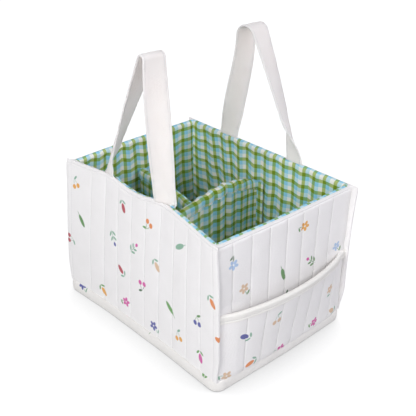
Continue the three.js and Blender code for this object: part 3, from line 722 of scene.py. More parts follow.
# Chipboard is matt grey-brown, with paler and darker flecks of pulp about 2 mm across
pulp = ("ShaderNodeTexNoise", 2, ("#8f8778", "#c9c1b2"))
chipboard = speckled("grey_chipboard", 0.85, 0.0, *pulp, Detail=3.0)
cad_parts["base_board"].material_slots[0].material = chipboard


def flat_face(inset):
    """A sheet's face that lies this far in all over."""
    return lambda wall, along, up: (inset, up)


def as_laid(wall, along, up):
    return along, up


for wall in WALLS:
    low, high = [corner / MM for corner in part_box(f"{wall}_board")]
    reach = (high.x - low.x if wall in HANDLES else high.y - low.y) / 2
    stops, ups = steps(-reach, reach, 40), steps(low.z, high.z, 30)
    faces = (flat_face(BOARD_INSET), flat_face(BOARD_INSET + BOARD))
    board = wall_sheet(f"{wall}_board_sheet", wall, stops, ups, faces, as_laid, chipboard)
    dress(board, "stiffener_board", f"{wall}_board")


# Wall linings: check cotton, caught by the quilting of the walls, so it puckers between the lines
# and its stripes wander.
LINING_INSET = 8.0
LINING_SHEET = 0.9
LINING_LOW = 8.4
LINING_PUCKER = 1.6
CHECK_LIFT = 5
BINDING_DROP = 2.4  # the rim's roll slopes down by this much to the inside, to the top of the linings
# Folds drawn across the back: where each starts and ends, along and up, and its depth
LINING_FOLDS = (
    (103, 200, 95, 95, 1.3),
    (131, 170, 124, 80, 1.3),
    (74, 175, 66, 100, 1.1),
    (84, 120, 97, 60, 1.1),
)
FOLD_WIDTH = 2.2
LINING_WAVE = 0.35
LINING_SEED = 20
CHECK_DRAG = 4.6  # the quilting drags the check up and down by this much
# Its stripes wander up and down and sway sideways: how far, and the waves' length along and up
CHECK_WANDER = ((2.4, 55, 40), (0.9, 17, 25))
CHECK_SWAY = ((1.8, 60, 70), (0.8, 20, 30))
CHECK_LEAN = 0.09  # and lean, as a share of the height below the rim
DRAWN_FROM = 155  # the back lining is drawn down from this corner, and to one side of it
DRAWN_DOWN = 10
DRAWN_RUN = 80  # this far below the rim it is drawn down in full
DRAWN_REACH = 55
DRAWN_ASIDE = 0.16
ASIDE_FROM = 60  # from the corner to where it is drawn aside most
ASIDE_REACH = 40


def fold_depth(along, up):
    """How deep the folds of the back lining are at a place."""
    deep = 0
    for from_along, from_up, to_along, to_up, depth in LINING_FOLDS:
        share = min(max((from_up - up) / (from_up - to_up), 0), 1)
        off = along - from_along - share * (to_along - from_along)
        deep += depth * math.sin(math.pi * share) * bell(off, FOLD_WIDTH)
    return deep


def waves_at(along, up, seed, waves):
    """Waves of several sizes together, each with its height and its length along and up."""
    return sum(high * ripple(along, up, seed + i, *run) for i, (high, *run) in enumerate(waves))


def check_at(wall, along, up):
    """Where a wall's check cloth is cut for a place, dragged about by the quilting."""
    first, pitch = WALLS[wall][4:6]
    seed = SEEDS[wall] + LINING_SEED
    zigzag = 1 - abs(((along - first) / pitch) % 1 * 2 - 1)
    drag = CHECK_DRAG * (zigzag - 0.5) * (0.7 + ripple(along, up, seed, 90, 60))
    wander = waves_at(along, up, seed + 1, CHECK_WANDER)
    sway = waves_at(along, up, seed + 3, CHECK_SWAY)
    sway += CHECK_LEAN * (RIM - up) * ripple(along, 0, seed + 5, 110, 1)
    if wall == "back":
        low = ease((RIM - up) / DRAWN_RUN)
        drag -= DRAWN_DOWN * low * bell(along - DRAWN_FROM, DRAWN_REACH)
        sway += DRAWN_ASIDE * (RIM - up) * bell(along - DRAWN_FROM + ASIDE_FROM, ASIDE_REACH)
    return along + sway + SHOWN_AT[wall], up + CHECK_LIFT + drag + wander


def wall_stops(wall, corner_steps, spacing):
    """Places along a wall and round its corners, each corner in a number of steps."""
    flat = WALLS[wall][0] - CORNER
    corner = [flat + CORNER_RUN * share for share in steps(0, 1, corner_steps)[1:]]
    return [-c for c in reversed(corner)] + steps(-flat, flat, round(flat / spacing)) + corner


def lining_inside(wall, along, up):
    """How far in a lining's inside lies, puckered between the quilted lines, and how high."""
    nearest = min(abs(along - line) for line in quilt_lines(wall))
    gathered = LINING_PUCKER * (1 - min(1, 2 * nearest / WALLS[wall][5])) ** 1.6
    if wall == "back":
        gathered += fold_depth(along, up)
    wave = LINING_WAVE * ripple(along, up, SEEDS[wall] + LINING_SEED, 14, 22)
    return LINING_INSET + LINING_SHEET + max(LINING_PUCKER - gathered + min(wave, 0.1), 0), up


def lining_outside(wall, along, up):
    return lining_inside(wall, along, up)[0] - LINING_SHEET, up


for wall in WALLS:
    stops = wall_stops(wall, 2, 1.5)
    ups = steps(LINING_LOW, RIM - BINDING_DROP - 1.5, 52)
    faces = (lining_outside, lining_inside)
    name = f"{wall}_lining_sheet"
    lining = wall_sheet(name, wall, stops, ups, faces, check_at, check_cotton, tight=False)
    dress(lining, "check_cotton", f"{wall}_lining")
    flat = (2 * WALLS[wall][0] * MM, RIM * MM)


# Rim: the check lining is rolled over the top of the walls and sewn down behind the outer panels.
# It runs on into the corners, and lies behind the straps where the handles come up.
BINDING_SHEET = 0.8
BINDING_OUT = 3.6  # outside of the roll, in from the flat wall
BINDING_NOTCHED = 8.3  # the same behind a strap
BINDING_IN = 10.2
BINDING_CROWN = 2.6
BINDING_WAVE = 0.5  # its crown rises and falls by this much
BINDING_CUT = 16  # width of the strip before it is rolled
RIM_SEED = 40
FRONT_ROLL_LOWS = (2.3, 1.1)  # the roll lies lower along the front, before its first leg and its second


def skins(middle, thickness):
    """Two lines of points, half a thickness to each side of a line in two dimensions."""
    sides = [[], []]
    for i, (a, b) in enumerate(middle):
        before, after = middle[max(i - 1, 0)], middle[min(i + 1, len(middle) - 1)]
        run = (after[0] - before[0], after[1] - before[1])
        length = math.hypot(*run)
        for side, sign in zip(sides, (-1, 1)):
            shift = sign * thickness / 2 / length
            side.append((a + shift * run[1], b - shift * run[0]))
    return sides


for wall in WALLS:
    seed = SEEDS[wall] + RIM_SEED
    legs = legs_of(wall)
    outer, inner, cloth = [], [], []
    for along in wall_stops(wall, 5, 1.1):
        behind = max([1 - ease((abs(along - leg) - STRAP_WIDTH / 2) / 3) for leg in legs], default=0)
        out = BINDING_OUT + (BINDING_NOTCHED - BINDING_OUT) * behind
        waves = ripple(along, 0, seed, 9, 1) + ripple(along, 0, seed, 31, 1)
        crown = BINDING_CROWN + BINDING_WAVE * waves
        if wall == "front":
            start, end = [1 - ease((along - leg) / 40) for leg in legs]
            crown -= FRONT_ROLL_LOWS[1] * end + (FRONT_ROLL_LOWS[0] - FRONT_ROLL_LOWS[1]) * start
        rise = Vector((0, 0, edge_rise(wall, along)))
        foot = RIM + EDGE_TOP
        middle = [(out, RIM - 2), (out, foot)]
        for turn in steps(0, math.pi, 10)[1:]:
            share = (1 - math.cos(turn)) / 2
            risen = (crown - EDGE_TOP) * math.sin(turn) - BINDING_DROP * share**1.5
            middle.append((out + (BINDING_IN - out) * share, foot + risen))
        end_up = RIM - BINDING_DROP
        middle += [(BINDING_IN - 0.1, end_up - 1.5), (BINDING_IN - 0.9, end_up - 4)]
        outside, inside = skins(middle, BINDING_SHEET)
        outer.append([on_wall(wall, along, *p, tight=False) + rise for p in outside])
        inner.append([on_wall(wall, along, *p, tight=False) + rise for p in inside])
        across, up = check_at(wall, along, middle[-1][1])
        cut = [(across, up)]
        for a, b in zip(middle[::-1], middle[-2::-1]):
            up += math.dist(a, b)
            cut.append((across, up))
        cloth.append(cut[::-1])
    binding = loft(f"{wall}_rim_roll", outer, inner, cloth, check_cotton)
    dress(binding, "check_cotton", f"{wall}_rim_binding")
    flat = (2 * WALLS[wall][0] * MM, BINDING_CUT * MM)


# Base band: a wadded tube of ivory cotton round the foot, sewn on as one strip. It stands slightly
# proud of the walls.
BAND_HEIGHT = 17.5
BAND_PROUD = 2.8
BAND_BACK = 3.4  # its inner face, in from the flat wall
BAND_SQUARE = (0.75, 0.42)  # how square its section is, upwards and outwards
BAND_UNEVEN = 0.1  # fuller and thinner stretches, as a share
BAND_WRINKLE = 0.2
BAND_SEED = 50

outer, inner, cloth = [], [], []
travelled = 0
for wall in WALLS:
    half = WALLS[wall][0]
    seed = SEEDS[wall] + BAND_SEED
    for along in wall_stops(wall, 6, 2)[:-1]:
        outside, inside, cut = [], [], []
        full = 1 + BAND_UNEVEN * ripple(along, 0, seed, 30, 1)
        for turn in steps(-0.5 * math.pi, 0.5 * math.pi, 12):
            rise = math.copysign(abs(math.sin(turn)) ** BAND_SQUARE[0], turn)
            up = BAND_HEIGHT / 2 + rise * BAND_HEIGHT / 2
            out = full * (BAND_PROUD + BAND_BACK) * math.cos(turn) ** BAND_SQUARE[1]
            out += BAND_WRINKLE * ripple(along, up, seed + 1, 6, 8) * math.cos(turn)
            outside.append(on_wall(wall, along, BAND_BACK - out, up, tight=False))
            inside.append(on_wall(wall, along, BAND_BACK + 0.1, 0.4 + 0.95 * up, tight=False))
            cut.append((travelled + along + half, up))
        outer.append(outside)
        inner.append(inside)
        cloth.append(cut)
    travelled += 2 * half
cloth.append([(travelled + u, v) for u, v in cloth[0]])
band = loft("base_band_roll", outer, inner, cloth, ivory_print, closed=True)
dress(band, "ivory_cotton", "base_band")


# End pocket: a quilted panel like the walls, caught in the base band and the corner seams, which
# gapes at its top edge.
POCKET_TOP = 116
POCKET_BACK = -1.8  # its inner face at the foot, in from the flat wall
POCKET_THICKNESS = 4
POCKET_GAPE = 15
POCKET_GAPE_POWER = 1.3
POCKET_HELD = 2.6  # its ends are drawn in by this much
POCKET_PITCH = 28.4
POCKET_LINES = [-80 + POCKET_PITCH * i for i in range(7)]
POCKET_SEED = 12
POCKET_TUCK = 1.2  # its ends are tucked in by this much
POCKET_FOOT = (1.6, 6)  # its foot is drawn in: how far, and over what height
POCKET_SHOWN_AT = 1600  # where its print is cut


def sewn_flat(along):
    """From 0 in the middle of the pocket to 1 at its ends, which are caught in the corner seams."""
    return ease((abs(along) - BODY_DEPTH / 2 + CORNER + 20) / 28)


def gape(along, up):
    """How far the pocket stands off its wall."""
    share = min(1, abs(along) / (BODY_DEPTH / 2 - CORNER))
    rise = max(0, (up - PANEL_LOW) / (POCKET_TOP - PANEL_LOW))
    return POCKET_GAPE * (1 - share**2) * rise**POCKET_GAPE_POWER - POCKET_HELD * sewn_flat(along)


def pocket_front(along, up):
    """The pocket's outside before it is quilted, in from the flat wall."""
    return POCKET_BACK - POCKET_THICKNESS * (1 - 0.5 * sewn_flat(along)) - gape(along, up)


def pocket_face(along, up):
    """The pocket's outside, in from the flat wall."""
    sewn = sewn_in(along, up, POCKET_LINES, POCKET_PITCH, POCKET_SEED, QUILT_SEAMS["pocket_end"])
    past = corner_share("pocket_end", along)
    sewn = sewn * (1 - CORNER_FLAT * ease(past)) + POCKET_TUCK * ease((past - 0.7) / 0.3)
    drawn, height = POCKET_FOOT
    return pocket_front(along, up) + sewn + drawn * (1 - ease((up - PANEL_LOW) / height))


pocket_stops = quilt_stops(POCKET_LINES, BODY_DEPTH / 2 - CORNER)
pocket = wall_sheet(
    "pocket_quilted_panel",
    "pocket_end",
    pocket_stops,
    steps(PANEL_LOW, POCKET_TOP, 28),
    (
        lambda wall, along, up: (pocket_face(along, up), up),
        lambda wall, along, up: (POCKET_BACK - gape(along, up), up),
    ),
    lambda wall, along, up: (along + POCKET_SHOWN_AT, up),
    white_print,
)
dress(pocket, "quilted_cotton", "pocket_panel")


# Pocket binding: a folded strip of ivory cotton over the pocket's edge, sewn through both sides.
# Its ends are caught in the corner seams with the pocket.
POCKET_BINDING = 9  # depth
POCKET_BINDING_SHEET = 1.0
SEWN_UP = 3  # its stitching above its lower edge
SEWN_PULL = 0.5  # and how far it pulls it in
PULL_WIDTH = 1.3
BINDING_PUCKER = 0.25
BINDING_STANDS = 1.1  # it stands out of the pocket by this much
BINDING_SEED = 61


def binding_face(along, up):
    """The outside of the binding, in from the flat wall."""
    pulled = SEWN_PULL * bell(up - POCKET_TOP + POCKET_BINDING - SEWN_UP, PULL_WIDTH)
    puckered = BINDING_PUCKER * ripple(along, up, BINDING_SEED, 7, 6)
    return pocket_front(along, up) - BINDING_STANDS + pulled + puckered


outer, inner, cloth = [], [], []
for along in pocket_stops:
    low = POCKET_TOP - POCKET_BINDING + 0.5 * ripple(along, 0, BINDING_SEED + 1, 25, 1)
    legs = steps(low, POCKET_TOP, 12)
    outside = [(binding_face(along, up), up) for up in legs]
    inside = [(POCKET_BACK - gape(along, up) + 0.9, up) for up in reversed(legs)]
    out, back = outside[-1][0], inside[0][0]
    crown = [
        ((out + back) / 2 + (out - back) / 2 * math.cos(t), POCKET_TOP + 2.2 * math.sin(t))
        for t in steps(0, math.pi, 6)[1:-1]
    ]
    two = skins(outside + crown + inside, POCKET_BINDING_SHEET)
    outer.append([on_wall("pocket_end", along, *p) for p in two[0]])
    inner.append([on_wall("pocket_end", along, *p) for p in two[1]])
    cloth.append([(along, 1.1 * j) for j in range(len(two[0]))])
pocket_edge = loft("pocket_edge_binding", outer, inner, cloth, ivory_cotton)
dress(pocket_edge, "ivory_cotton", "pocket_binding")

rows = []
for line in POCKET_LINES:
    ups = steps(PANEL_LOW + 3, POCKET_TOP - POCKET_BINDING, 30)
    rows.append([on_wall("pocket_end", line, pocket_face(line, up) - THREAD_LIFT, up) for up in ups])
up = POCKET_TOP - POCKET_BINDING + SEWN_UP
edge = steps(-BODY_DEPTH / 2 + CORNER, BODY_DEPTH / 2 - CORNER, 150)
sheet_out = POCKET_BINDING_SHEET / 2 + THREAD_LIFT
rows.append([on_wall("pocket_end", a, binding_face(a, up) - sheet_out, up) for a in edge])
dress(stitched("pocket_stitches", rows), "ivory_cotton")


# Carrying handles: flat straps of white cotton, folded and sewn along both edges. Each is one
# length with its ends sewn into the rim seam, and stands up as a loop with half a twist.
STRAP_THICKNESS = 2.4
STRAP_INSET = 6.5  # middle of a strap's ends, in from the flat wall
FOLD = 223  # height at which a handle folds
ROOT_FLAT = 4
ROOT_SKEW = 45  # stretch in which a leg leaves the rim aslant
ROOT_TURNS = {"front": (27, 24), "back": (14, 7)}  # turn at the rim of each leg, in degrees
FIRST_TWIST = (0.75, 15)  # of the plainer leg: the even share, and how late the rest comes
LAST_TWISTS = {"front": (0.51, 34), "back": (0.45, 70)}  # of the other: the same, and the rest's run
CURL = 5  # a strap curls up across its width by this much where it twists
TAIL = 30  # sewn length below the rim
BEND = 5  # a stretch of this much to each side of a strap's fold line
EDGE_SEAM = 0.41  # stitching along a strap's edges, as a share of its width from the middle
SEAM_SHARE = 0.03  # the dent that it makes, the same way
STRAP_CROWN = 0.2  # how much thicker a strap is in the middle
STRAP_CREASE = 16  # length of its creases
CREASE_RISE = 1.4 * MM  # and how far they rise and fall
EDGE_ROUND = 0.45  # rounding of its edges, as a share of its thickness
SEAM_FALL = 0.37  # the dent falls to this share at its half width
SEAM_DENT = 0.2  # its depth, as a share of the thickness
EDGE_THIN = 0.75  # thickness at the stitching, the same way
UNSEWN = 4  # points at each end of its path that the stitching leaves out


def bezier(a, b, c, d, share):
    other = 1 - share
    return [
        other**3 * p + 3 * other**2 * share * q + 3 * other * share**2 * r + share**3 * s
        for p, q, r, s in zip(a, b, c, d)
    ]


def loop_line(spread, height, shift, radius):
    """The middle of a loop above its fold line: up one leg, over a tight top and down the other."""
    top = height - radius
    slant = math.atan2(spread + shift, height)
    end = shift + radius
    first = ((spread, 0), (0.65 * spread + 0.35 * end, 0.4 * height), (end, 0.6 * height), (end, top))
    line = [bezier(*first, s) for s in steps(0, 1, 60)[:-1]]
    for angle in steps(0, math.pi - slant, 24):
        line.append([shift + radius * math.cos(angle), top + radius * math.sin(angle)])
    x, z = line[-1]
    reach = 0.4 * height
    down = (x - reach * math.sin(slant), z - reach * math.cos(slant))
    last = ((x, z), down, (-spread, 0.1 * height), (-spread, 0))
    return line + [bezier(*last, s) for s in steps(0, 1, 60)[1:]]


def strap_line(wall):
    """Points down the middle of a strap in its wall's own frame, from seam to seam, each with its
    tangent, its turn about it, and how square to it the strap is."""
    loop = loop_line(*HANDLES[wall][1:])
    gone = [0]
    for a, b in zip(loop, loop[1:]):
        gone.append(gone[-1] + math.dist(a, b))
    twisting = gone[-1] - 2 * ROOT_FLAT
    roots = [math.radians(turn) for turn in ROOT_TURNS[wall]]
    line = []
    for i, (x, z) in enumerate(loop):
        before, after = loop[max(i - 1, 0)], loop[min(i + 1, len(loop) - 1)]
        tangent = Vector((after[0] - before[0], 0, after[1] - before[1])).normalized()
        even = 2 * min(max((gone[i] - ROOT_FLAT) / twisting, 0), 1) - 1
        share, late = FIRST_TWIST
        turn = max(math.pi / 2 * (1 + share * even + (1 - share) * even**late), roots[0])
        if even > 0:
            share, run = LAST_TWISTS[wall]
            rest = math.pi / 2 * (1 - share) - roots[1]
            turn = math.pi / 2 * (1 + share * even) + rest * (1 - ease((gone[-1] - gone[i]) / run))
        square = ease(min(gone[i], gone[-1] - gone[i]) / ROOT_SKEW)
        line.append((Vector((x, 0, FOLD + z)), tangent, turn, square))
    ups = steps(RIM - TAIL, FOLD, 18)[:-1]
    first, last = [], []
    for up in ups:
        share = ease((up - RIM + 1) / (FOLD - RIM + 1))
        first.append((Vector((loop[0][0], 0, up)), Vector((0, 0, 1)), roots[0] * share, 1))
        last.append((Vector((loop[-1][0], 0, up)), Vector((0, 0, -1)), math.pi - roots[1] * share, 1))
    return first + line + last[::-1]


strap_tree, given = new_tree(
    "Strap along a path",
    [("Width", "Float"), ("Thickness", "Float"), ("Crown", "Float"), ("Cloth", "Material")],
)
path = add(strap_tree, "GeometryNodeMeshToCurve", given["Geometry"])
side = add(strap_tree, "GeometryNodeInputNamedAttribute", "across", data_type="FLOAT_VECTOR")
aligned = {"Curve": path, "Normal": side}
path = add(strap_tree, "GeometryNodeSetCurveNormal", inputs=aligned, mode="FREE")
profile = add(strap_tree, "GeometryNodeCurvePrimitiveQuadrilateral", given["Width"], given["Thickness"])
edge = add(strap_tree, "ShaderNodeMath", given["Thickness"], EDGE_ROUND, operation="MULTIPLY")
rounded = {"Curve": profile, "Count": 2, "Radius": edge}
profile = add(strap_tree, "GeometryNodeFilletCurve", inputs=rounded, mode="POLY")
profile = add(strap_tree, "GeometryNodeSubdivideCurve", profile, 15)
spot = add(strap_tree, "ShaderNodeSeparateXYZ", add(strap_tree, "GeometryNodeInputPosition"))
out = add(strap_tree, "ShaderNodeMath", spot, given["Width"], operation="DIVIDE")
squared = add(strap_tree, "ShaderNodeMath", out, out, operation="MULTIPLY")
crowned = add(strap_tree, "ShaderNodeMath", squared, -4.0, 1.0, operation="MULTIPLY_ADD")
swell = add(strap_tree, "ShaderNodeMath", crowned, given["Crown"], operation="MULTIPLY")
sideways = add(strap_tree, "ShaderNodeMath", out, operation="ABSOLUTE")
from_seam = add(strap_tree, "ShaderNodeMath", sideways, EDGE_SEAM, operation="SUBTRACT")
narrow = add(strap_tree, "ShaderNodeMath", from_seam, 1 / SEAM_SHARE, operation="MULTIPLY")
away = add(strap_tree, "ShaderNodeMath", narrow, narrow, operation="MULTIPLY")
seam = add(strap_tree, "ShaderNodeMath", SEAM_FALL, away, operation="POWER")
thinned = add(strap_tree, "ShaderNodeMath", seam, -SEAM_DENT, swell, operation="MULTIPLY_ADD")
rise = add(strap_tree, "ShaderNodeMath", thinned, spot.node.outputs["Y"], operation="MULTIPLY")
moved = {"Geometry": profile, "Offset": add(strap_tree, "ShaderNodeCombineXYZ", 0.0, rise)}
profile = add(strap_tree, "GeometryNodeSetPosition", inputs=moved)
kept = {"Geometry": profile, "Name": "sideways", "Value": spot}
profile = add(
    strap_tree, "GeometryNodeStoreNamedAttribute", inputs=kept, data_type="FLOAT", domain="POINT"
)
swept = {"Curve": path, "Profile Curve": profile, "Fill Caps": True}
strap = add(strap_tree, "GeometryNodeCurveToMesh", inputs=swept)
wide = add(strap_tree, "GeometryNodeInputNamedAttribute", "sideways", data_type="FLOAT")
long = add(strap_tree, "GeometryNodeInputNamedAttribute", "along", data_type="FLOAT")
spread = add(strap_tree, "ShaderNodeMath", wide, 1 / MM, operation="MULTIPLY")
flat = add(strap_tree, "ShaderNodeCombineXYZ", spread, long)
creased = {"Vector": flat, "Scale": 1 / STRAP_CREASE, "Detail": 3.0}
creases = add(strap_tree, "ShaderNodeTexNoise", inputs=creased)
rumple = (creases, CREASE_RISE, -CREASE_RISE / 2)
lift = add(strap_tree, "ShaderNodeMath", *rumple, operation="MULTIPLY_ADD")
half = add(strap_tree, "ShaderNodeMath", given["Width"], 0.5, operation="MULTIPLY")
out = add(strap_tree, "ShaderNodeMath", wide, half, operation="DIVIDE")
squared = add(strap_tree, "ShaderNodeMath", out, out, operation="MULTIPLY")
arched = add(strap_tree, "ShaderNodeMath", squared, -1.0, 0.5, operation="MULTIPLY_ADD")
curl = add(strap_tree, "GeometryNodeInputNamedAttribute", "curl", data_type="FLOAT")
lift = add(strap_tree, "ShaderNodeMath", arched, curl, lift, operation="MULTIPLY_ADD")
facing = add(strap_tree, "GeometryNodeInputNamedAttribute", "facing", data_type="FLOAT_VECTOR")
shift = add(strap_tree, "ShaderNodeVectorMath", facing, inputs={"Scale": lift}, operation="SCALE")
strap = add(strap_tree, "GeometryNodeSetPosition", inputs={"Geometry": strap, "Offset": shift})
kept = {"Geometry": strap, "Name": "cloth", "Value": flat}
strap = add(
    strap_tree, "GeometryNodeStoreNamedAttribute", inputs=kept, data_type="FLOAT2", domain="CORNER"
)
strap = add(strap_tree, "GeometryNodeRealizeInstances", strap)
coloured = {"Geometry": strap, "Material": given["Cloth"]}
strap = add(strap_tree, "GeometryNodeSetMaterial", inputs=coloured)
add(strap_tree, "NodeGroupOutput", strap)

# The straps are cut from the same cotton where little of its print falls, and look nearly plain.
# Light comes through them, so their undersides are pale.
strap_cotton = printed_cotton("white_strap_cotton", ("#f3e8e3", "#f9f0eb"), 0.1)
shader = strap_cotton.node_tree.nodes["Principled BSDF"]
shader.inputs["Subsurface Weight"].default_value = 1.0
shader.inputs["Subsurface Scale"].default_value = 2.5 * STRAP_THICKNESS * MM
shader.inputs["Subsurface Radius"].default_value = (1, 1, 1)


for wall in HANDLES:
    bow = WALLS[wall][3]
    turned = Matrix.Rotation(WALLS[wall][2], 3, "Z")
    points, sides, facings, curls, gone = [], [], [], [], [0]
    for place, tangent, turn, square in strap_line(wall):
        lean = bow * min(place.z / RIM, 1) ** BOW_POWER
        depth = STRAP_INSET + lean - BODY_DEPTH / 2
        across = Vector((math.cos(turn), math.sin(turn), 0))
        across = (across - square * across.dot(tangent) * tangent).normalized()
        points.append(turned @ Vector((place.x + HANDLES[wall][0], depth, place.z)))
        sides.append(turned @ across)
        facings.append(turned @ tangent.cross(across).normalized())
        curls.append(CURL * MM * math.sin(2 * turn) ** 3 * ease((place.z - FOLD) / 15))
        if len(points) > 1:
            gone.append(gone[-1] + (points[-1] - points[-2]).length)
    mesh = bpy.data.meshes.new(f"{wall}_strap_line")
    mesh.from_pydata([MM * p for p in points], [(i, i + 1) for i in range(len(points) - 1)], [])
    for label, vectors in (("across", sides), ("facing", facings)):
        attribute = mesh.attributes.new(label, "FLOAT_VECTOR", "POINT")
        attribute.data.foreach_set("vector", [x for v in vectors for x in v])
    for label, values in (("along", gone), ("curl", curls)):
        mesh.attributes.new(label, "FLOAT", "POINT").data.foreach_set("value", values)
    values = {
        "Width": STRAP_WIDTH * MM,
        "Thickness": STRAP_THICKNESS * MM,
        "Crown": STRAP_CROWN,
        "Cloth": strap_cotton,
    }
    strap = made_by(strap_tree, f"{wall}_handle_strap", mesh, values)
    strap.data.shade_smooth()
    strap.data.set_sharp_from_angle(angle=math.radians(60))
    rows = []
    face = STRAP_THICKNESS / 2 * EDGE_THIN + THREAD_LIFT
    for place in (-EDGE_SEAM * STRAP_WIDTH, EDGE_SEAM * STRAP_WIDTH):
        for out in (-face, face):
            row = []
            for point, side, facing, curl in zip(points, sides, facings, curls):
                arched = curl / MM * (0.5 - (2 * EDGE_SEAM) ** 2)
                row.append(point + place * side + (out + arched) * facing)
            rows.append(row[UNSEWN:-UNSEWN])
    edging = stitched(f"{wall}_handle_stitches", rows)
    axis = turned @ Vector((0, STRAP_INSET + bow - BODY_DEPTH / 2, 0))
    for piece in (strap, edging):
        start, end = [(0, axis.y * MM, (FOLD + bend) * MM) for bend in (-BEND, BEND)]
        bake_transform(piece)
    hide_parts(f"{wall}_handle", f"{wall}_strap_tail_left", f"{wall}_strap_tail_right")
    flat = (STRAP_WIDTH * MM, gone[-1] * MM)


# Divider: a cross panel between the long walls and a long one from it to the plain end. Each is a
# check cover folded over a sheet of foam and hemmed along its top, and the whole lifts out.
FLOOR = 9.9
DIVIDER_TOP = 168
DIVIDER_THICKNESS = 7
DIVIDER_SHEET = 1.2
DIVIDER_HEM = 13  # the hem's turned edge below the top
HEM_STEP = 2.8  # how far the hem stands out
HEM_THREAD = 1.1
HEM_ASIDE = 7  # its check is this far out of line with the side's
HEM_SEWN = 2.6  # its stitching above its edge
HEM_DENT = (0.25, 0.9)  # the dent that it makes: its share of the step, and its half width
HEM_PUCKER = (0.9, 9)  # the cloth beside it: rise and fall, and how far it reaches
CROSS_FRONT_X = 13
CROSS_BACK_X = -6
CROSS_BEND_X = -22
CROSS_BEND_SHARE = 0.77
CROSS_CROWN = (10, 2.6, 1.2)  # its top rises by this much in the middle, and falls at its two ends
CROSS_SEED = 31
LONG_CROWN = 1.5
LONG_SEED = 33
# Creases down each divider: place along it, and depth
CREASES = {
    CROSS_SEED: ((0.33, 2.6), (0.45, 2.4), (0.585, 4.4), (0.72, 2.2)),
    LONG_SEED: ((0.5, 2),),
}
CREASE_BEND = (2, 50)  # a crease bends aside: how far, and its waves' length
CREASE_HALF = 4  # half its width
RIDGE = (0.6, 9, 7)  # beside it: its share of the depth, how far off it is, and half its width
LOOSE_RUN = 25  # a divider waves in full this far from its ends
END_RUN = 8  # and turns to face its walls over this much
DIVIDER_WAVES = ((1.4, 26, 160), (0.8, 12, 70))  # of its sides: height, and length along and up
LONG_JOIN = 0.28
LONG_END_Y = 4
ACROSS_X = Vector((1, 0, 0))
ACROSS_Y = Vector((0, 1, 0))
cross_low, cross_high = [corner.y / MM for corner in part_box("cross_divider")]
bend_y = cross_low + CROSS_BEND_SHARE * (cross_high - cross_low)
CROSS_BENDS = (
    Vector((CROSS_FRONT_X, cross_low, 0)),
    Vector((CROSS_BEND_X, bend_y, 0)),
    Vector((CROSS_BACK_X, cross_high, 0)),
)


def cross_line(share):
    front, middle, back = CROSS_BENDS
    return (1 - share) ** 2 * front + 2 * share * (1 - share) * middle + share**2 * back


def heading_of(line, share):
    return (line(share + 0.01) - line(share - 0.01)).normalized()


join_way = heading_of(cross_line, LONG_JOIN)
join_out = Vector((-join_way.y, join_way.x, 0))
JOIN = cross_line(LONG_JOIN) + (DIVIDER_THICKNESS / 2 + SEAM) * join_out
LONG_END = Vector((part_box("long_divider")[0].x / MM, LONG_END_Y, 0))


def long_line(share):
    return JOIN.lerp(LONG_END, share)


def divider_place(line, faces, share, offset, up, seed, crown):
    """A point of a divider: along its line, off its middle, and up. Its sides wave a little."""
    way = heading_of(line, share)
    across = Vector((way.y, -way.x, 0))
    length = (line(1) - line(0)).length
    along = share * length
    loose = ease(min(share, 1 - share) * length / LOOSE_RUN)
    wave = waves_at(along, up, seed, DIVIDER_WAVES)
    high, reach = HEM_PUCKER
    near_hem = bell(up - DIVIDER_TOP + DIVIDER_HEM, reach)
    wave += high * ripple(along, up, seed + 3, 7, 30) * near_hem
    bend, run = CREASE_BEND
    part, beside, wide = RIDGE
    for crease, deep in CREASES[seed]:
        off = along - crease * length - bend * ripple(0, up, seed + 2, 1, run)
        wave += deep * (part * bell(off - beside, wide) - bell(off, CREASE_HALF))
    for at, face in enumerate(faces):
        near = 1 - ease(abs(share - at) * length / END_RUN)
        across = across.lerp(face / face.dot(across), near)
    rise = crown(share) * (up - FLOOR) / (DIVIDER_TOP - FLOOR)
    return line(share) + (offset + loose * wave) * across + Vector((0, 0, up + rise))


def hem_out(up):
    """How far a divider's side stands out at a height: a step at the hem, pulled in where it is sewn."""
    off = up - DIVIDER_TOP + DIVIDER_HEM
    dent, wide = HEM_DENT
    return HEM_STEP * (ease(off / 1.2) - dent * bell(off - HEM_SEWN, wide))


def cover_section(inset):
    """The cover's section as offsets and heights: up one side, over the top and down the other."""
    half = DIVIDER_THICKNESS / 2
    shoulder = DIVIDER_TOP - half
    seam = DIVIDER_TOP - DIVIDER_HEM
    rising = steps(FLOOR + 0.2, seam - 8, 20)
    beside = (-5, -2.5, -1, -0.3, 0, 0.3, 0.6, 0.9, 1.2, 1.8, 2.2, 2.6, 3, 3.4, 4.2, 6)
    rising += [seam + d for d in beside] + [shoulder]
    side = [(half - inset + hem_out(up), up) for up in rising]
    top = half - inset + HEM_STEP
    arch = [(top * math.cos(t), shoulder + top * math.sin(t)) for t in steps(0, math.pi, 10)[1:-1]]
    return side + arch + [(-offset, up) for offset, up in reversed(side)]


def cross_crown(share):
    high, near, far = CROSS_CROWN
    return high * math.sin(math.pi * share) - near * (1 - share) ** 3 - far * share**4


def long_crown(share):
    return LONG_CROWN * math.sin(math.pi * share)


# Foam is off-white and matt, with open cells about 0.8 mm across
cells = ("ShaderNodeTexVoronoi", 0.8, ("#cfcabc", "#efebe0"))
foam = speckled("open_cell_foam", 0.95, 0.0, *cells)

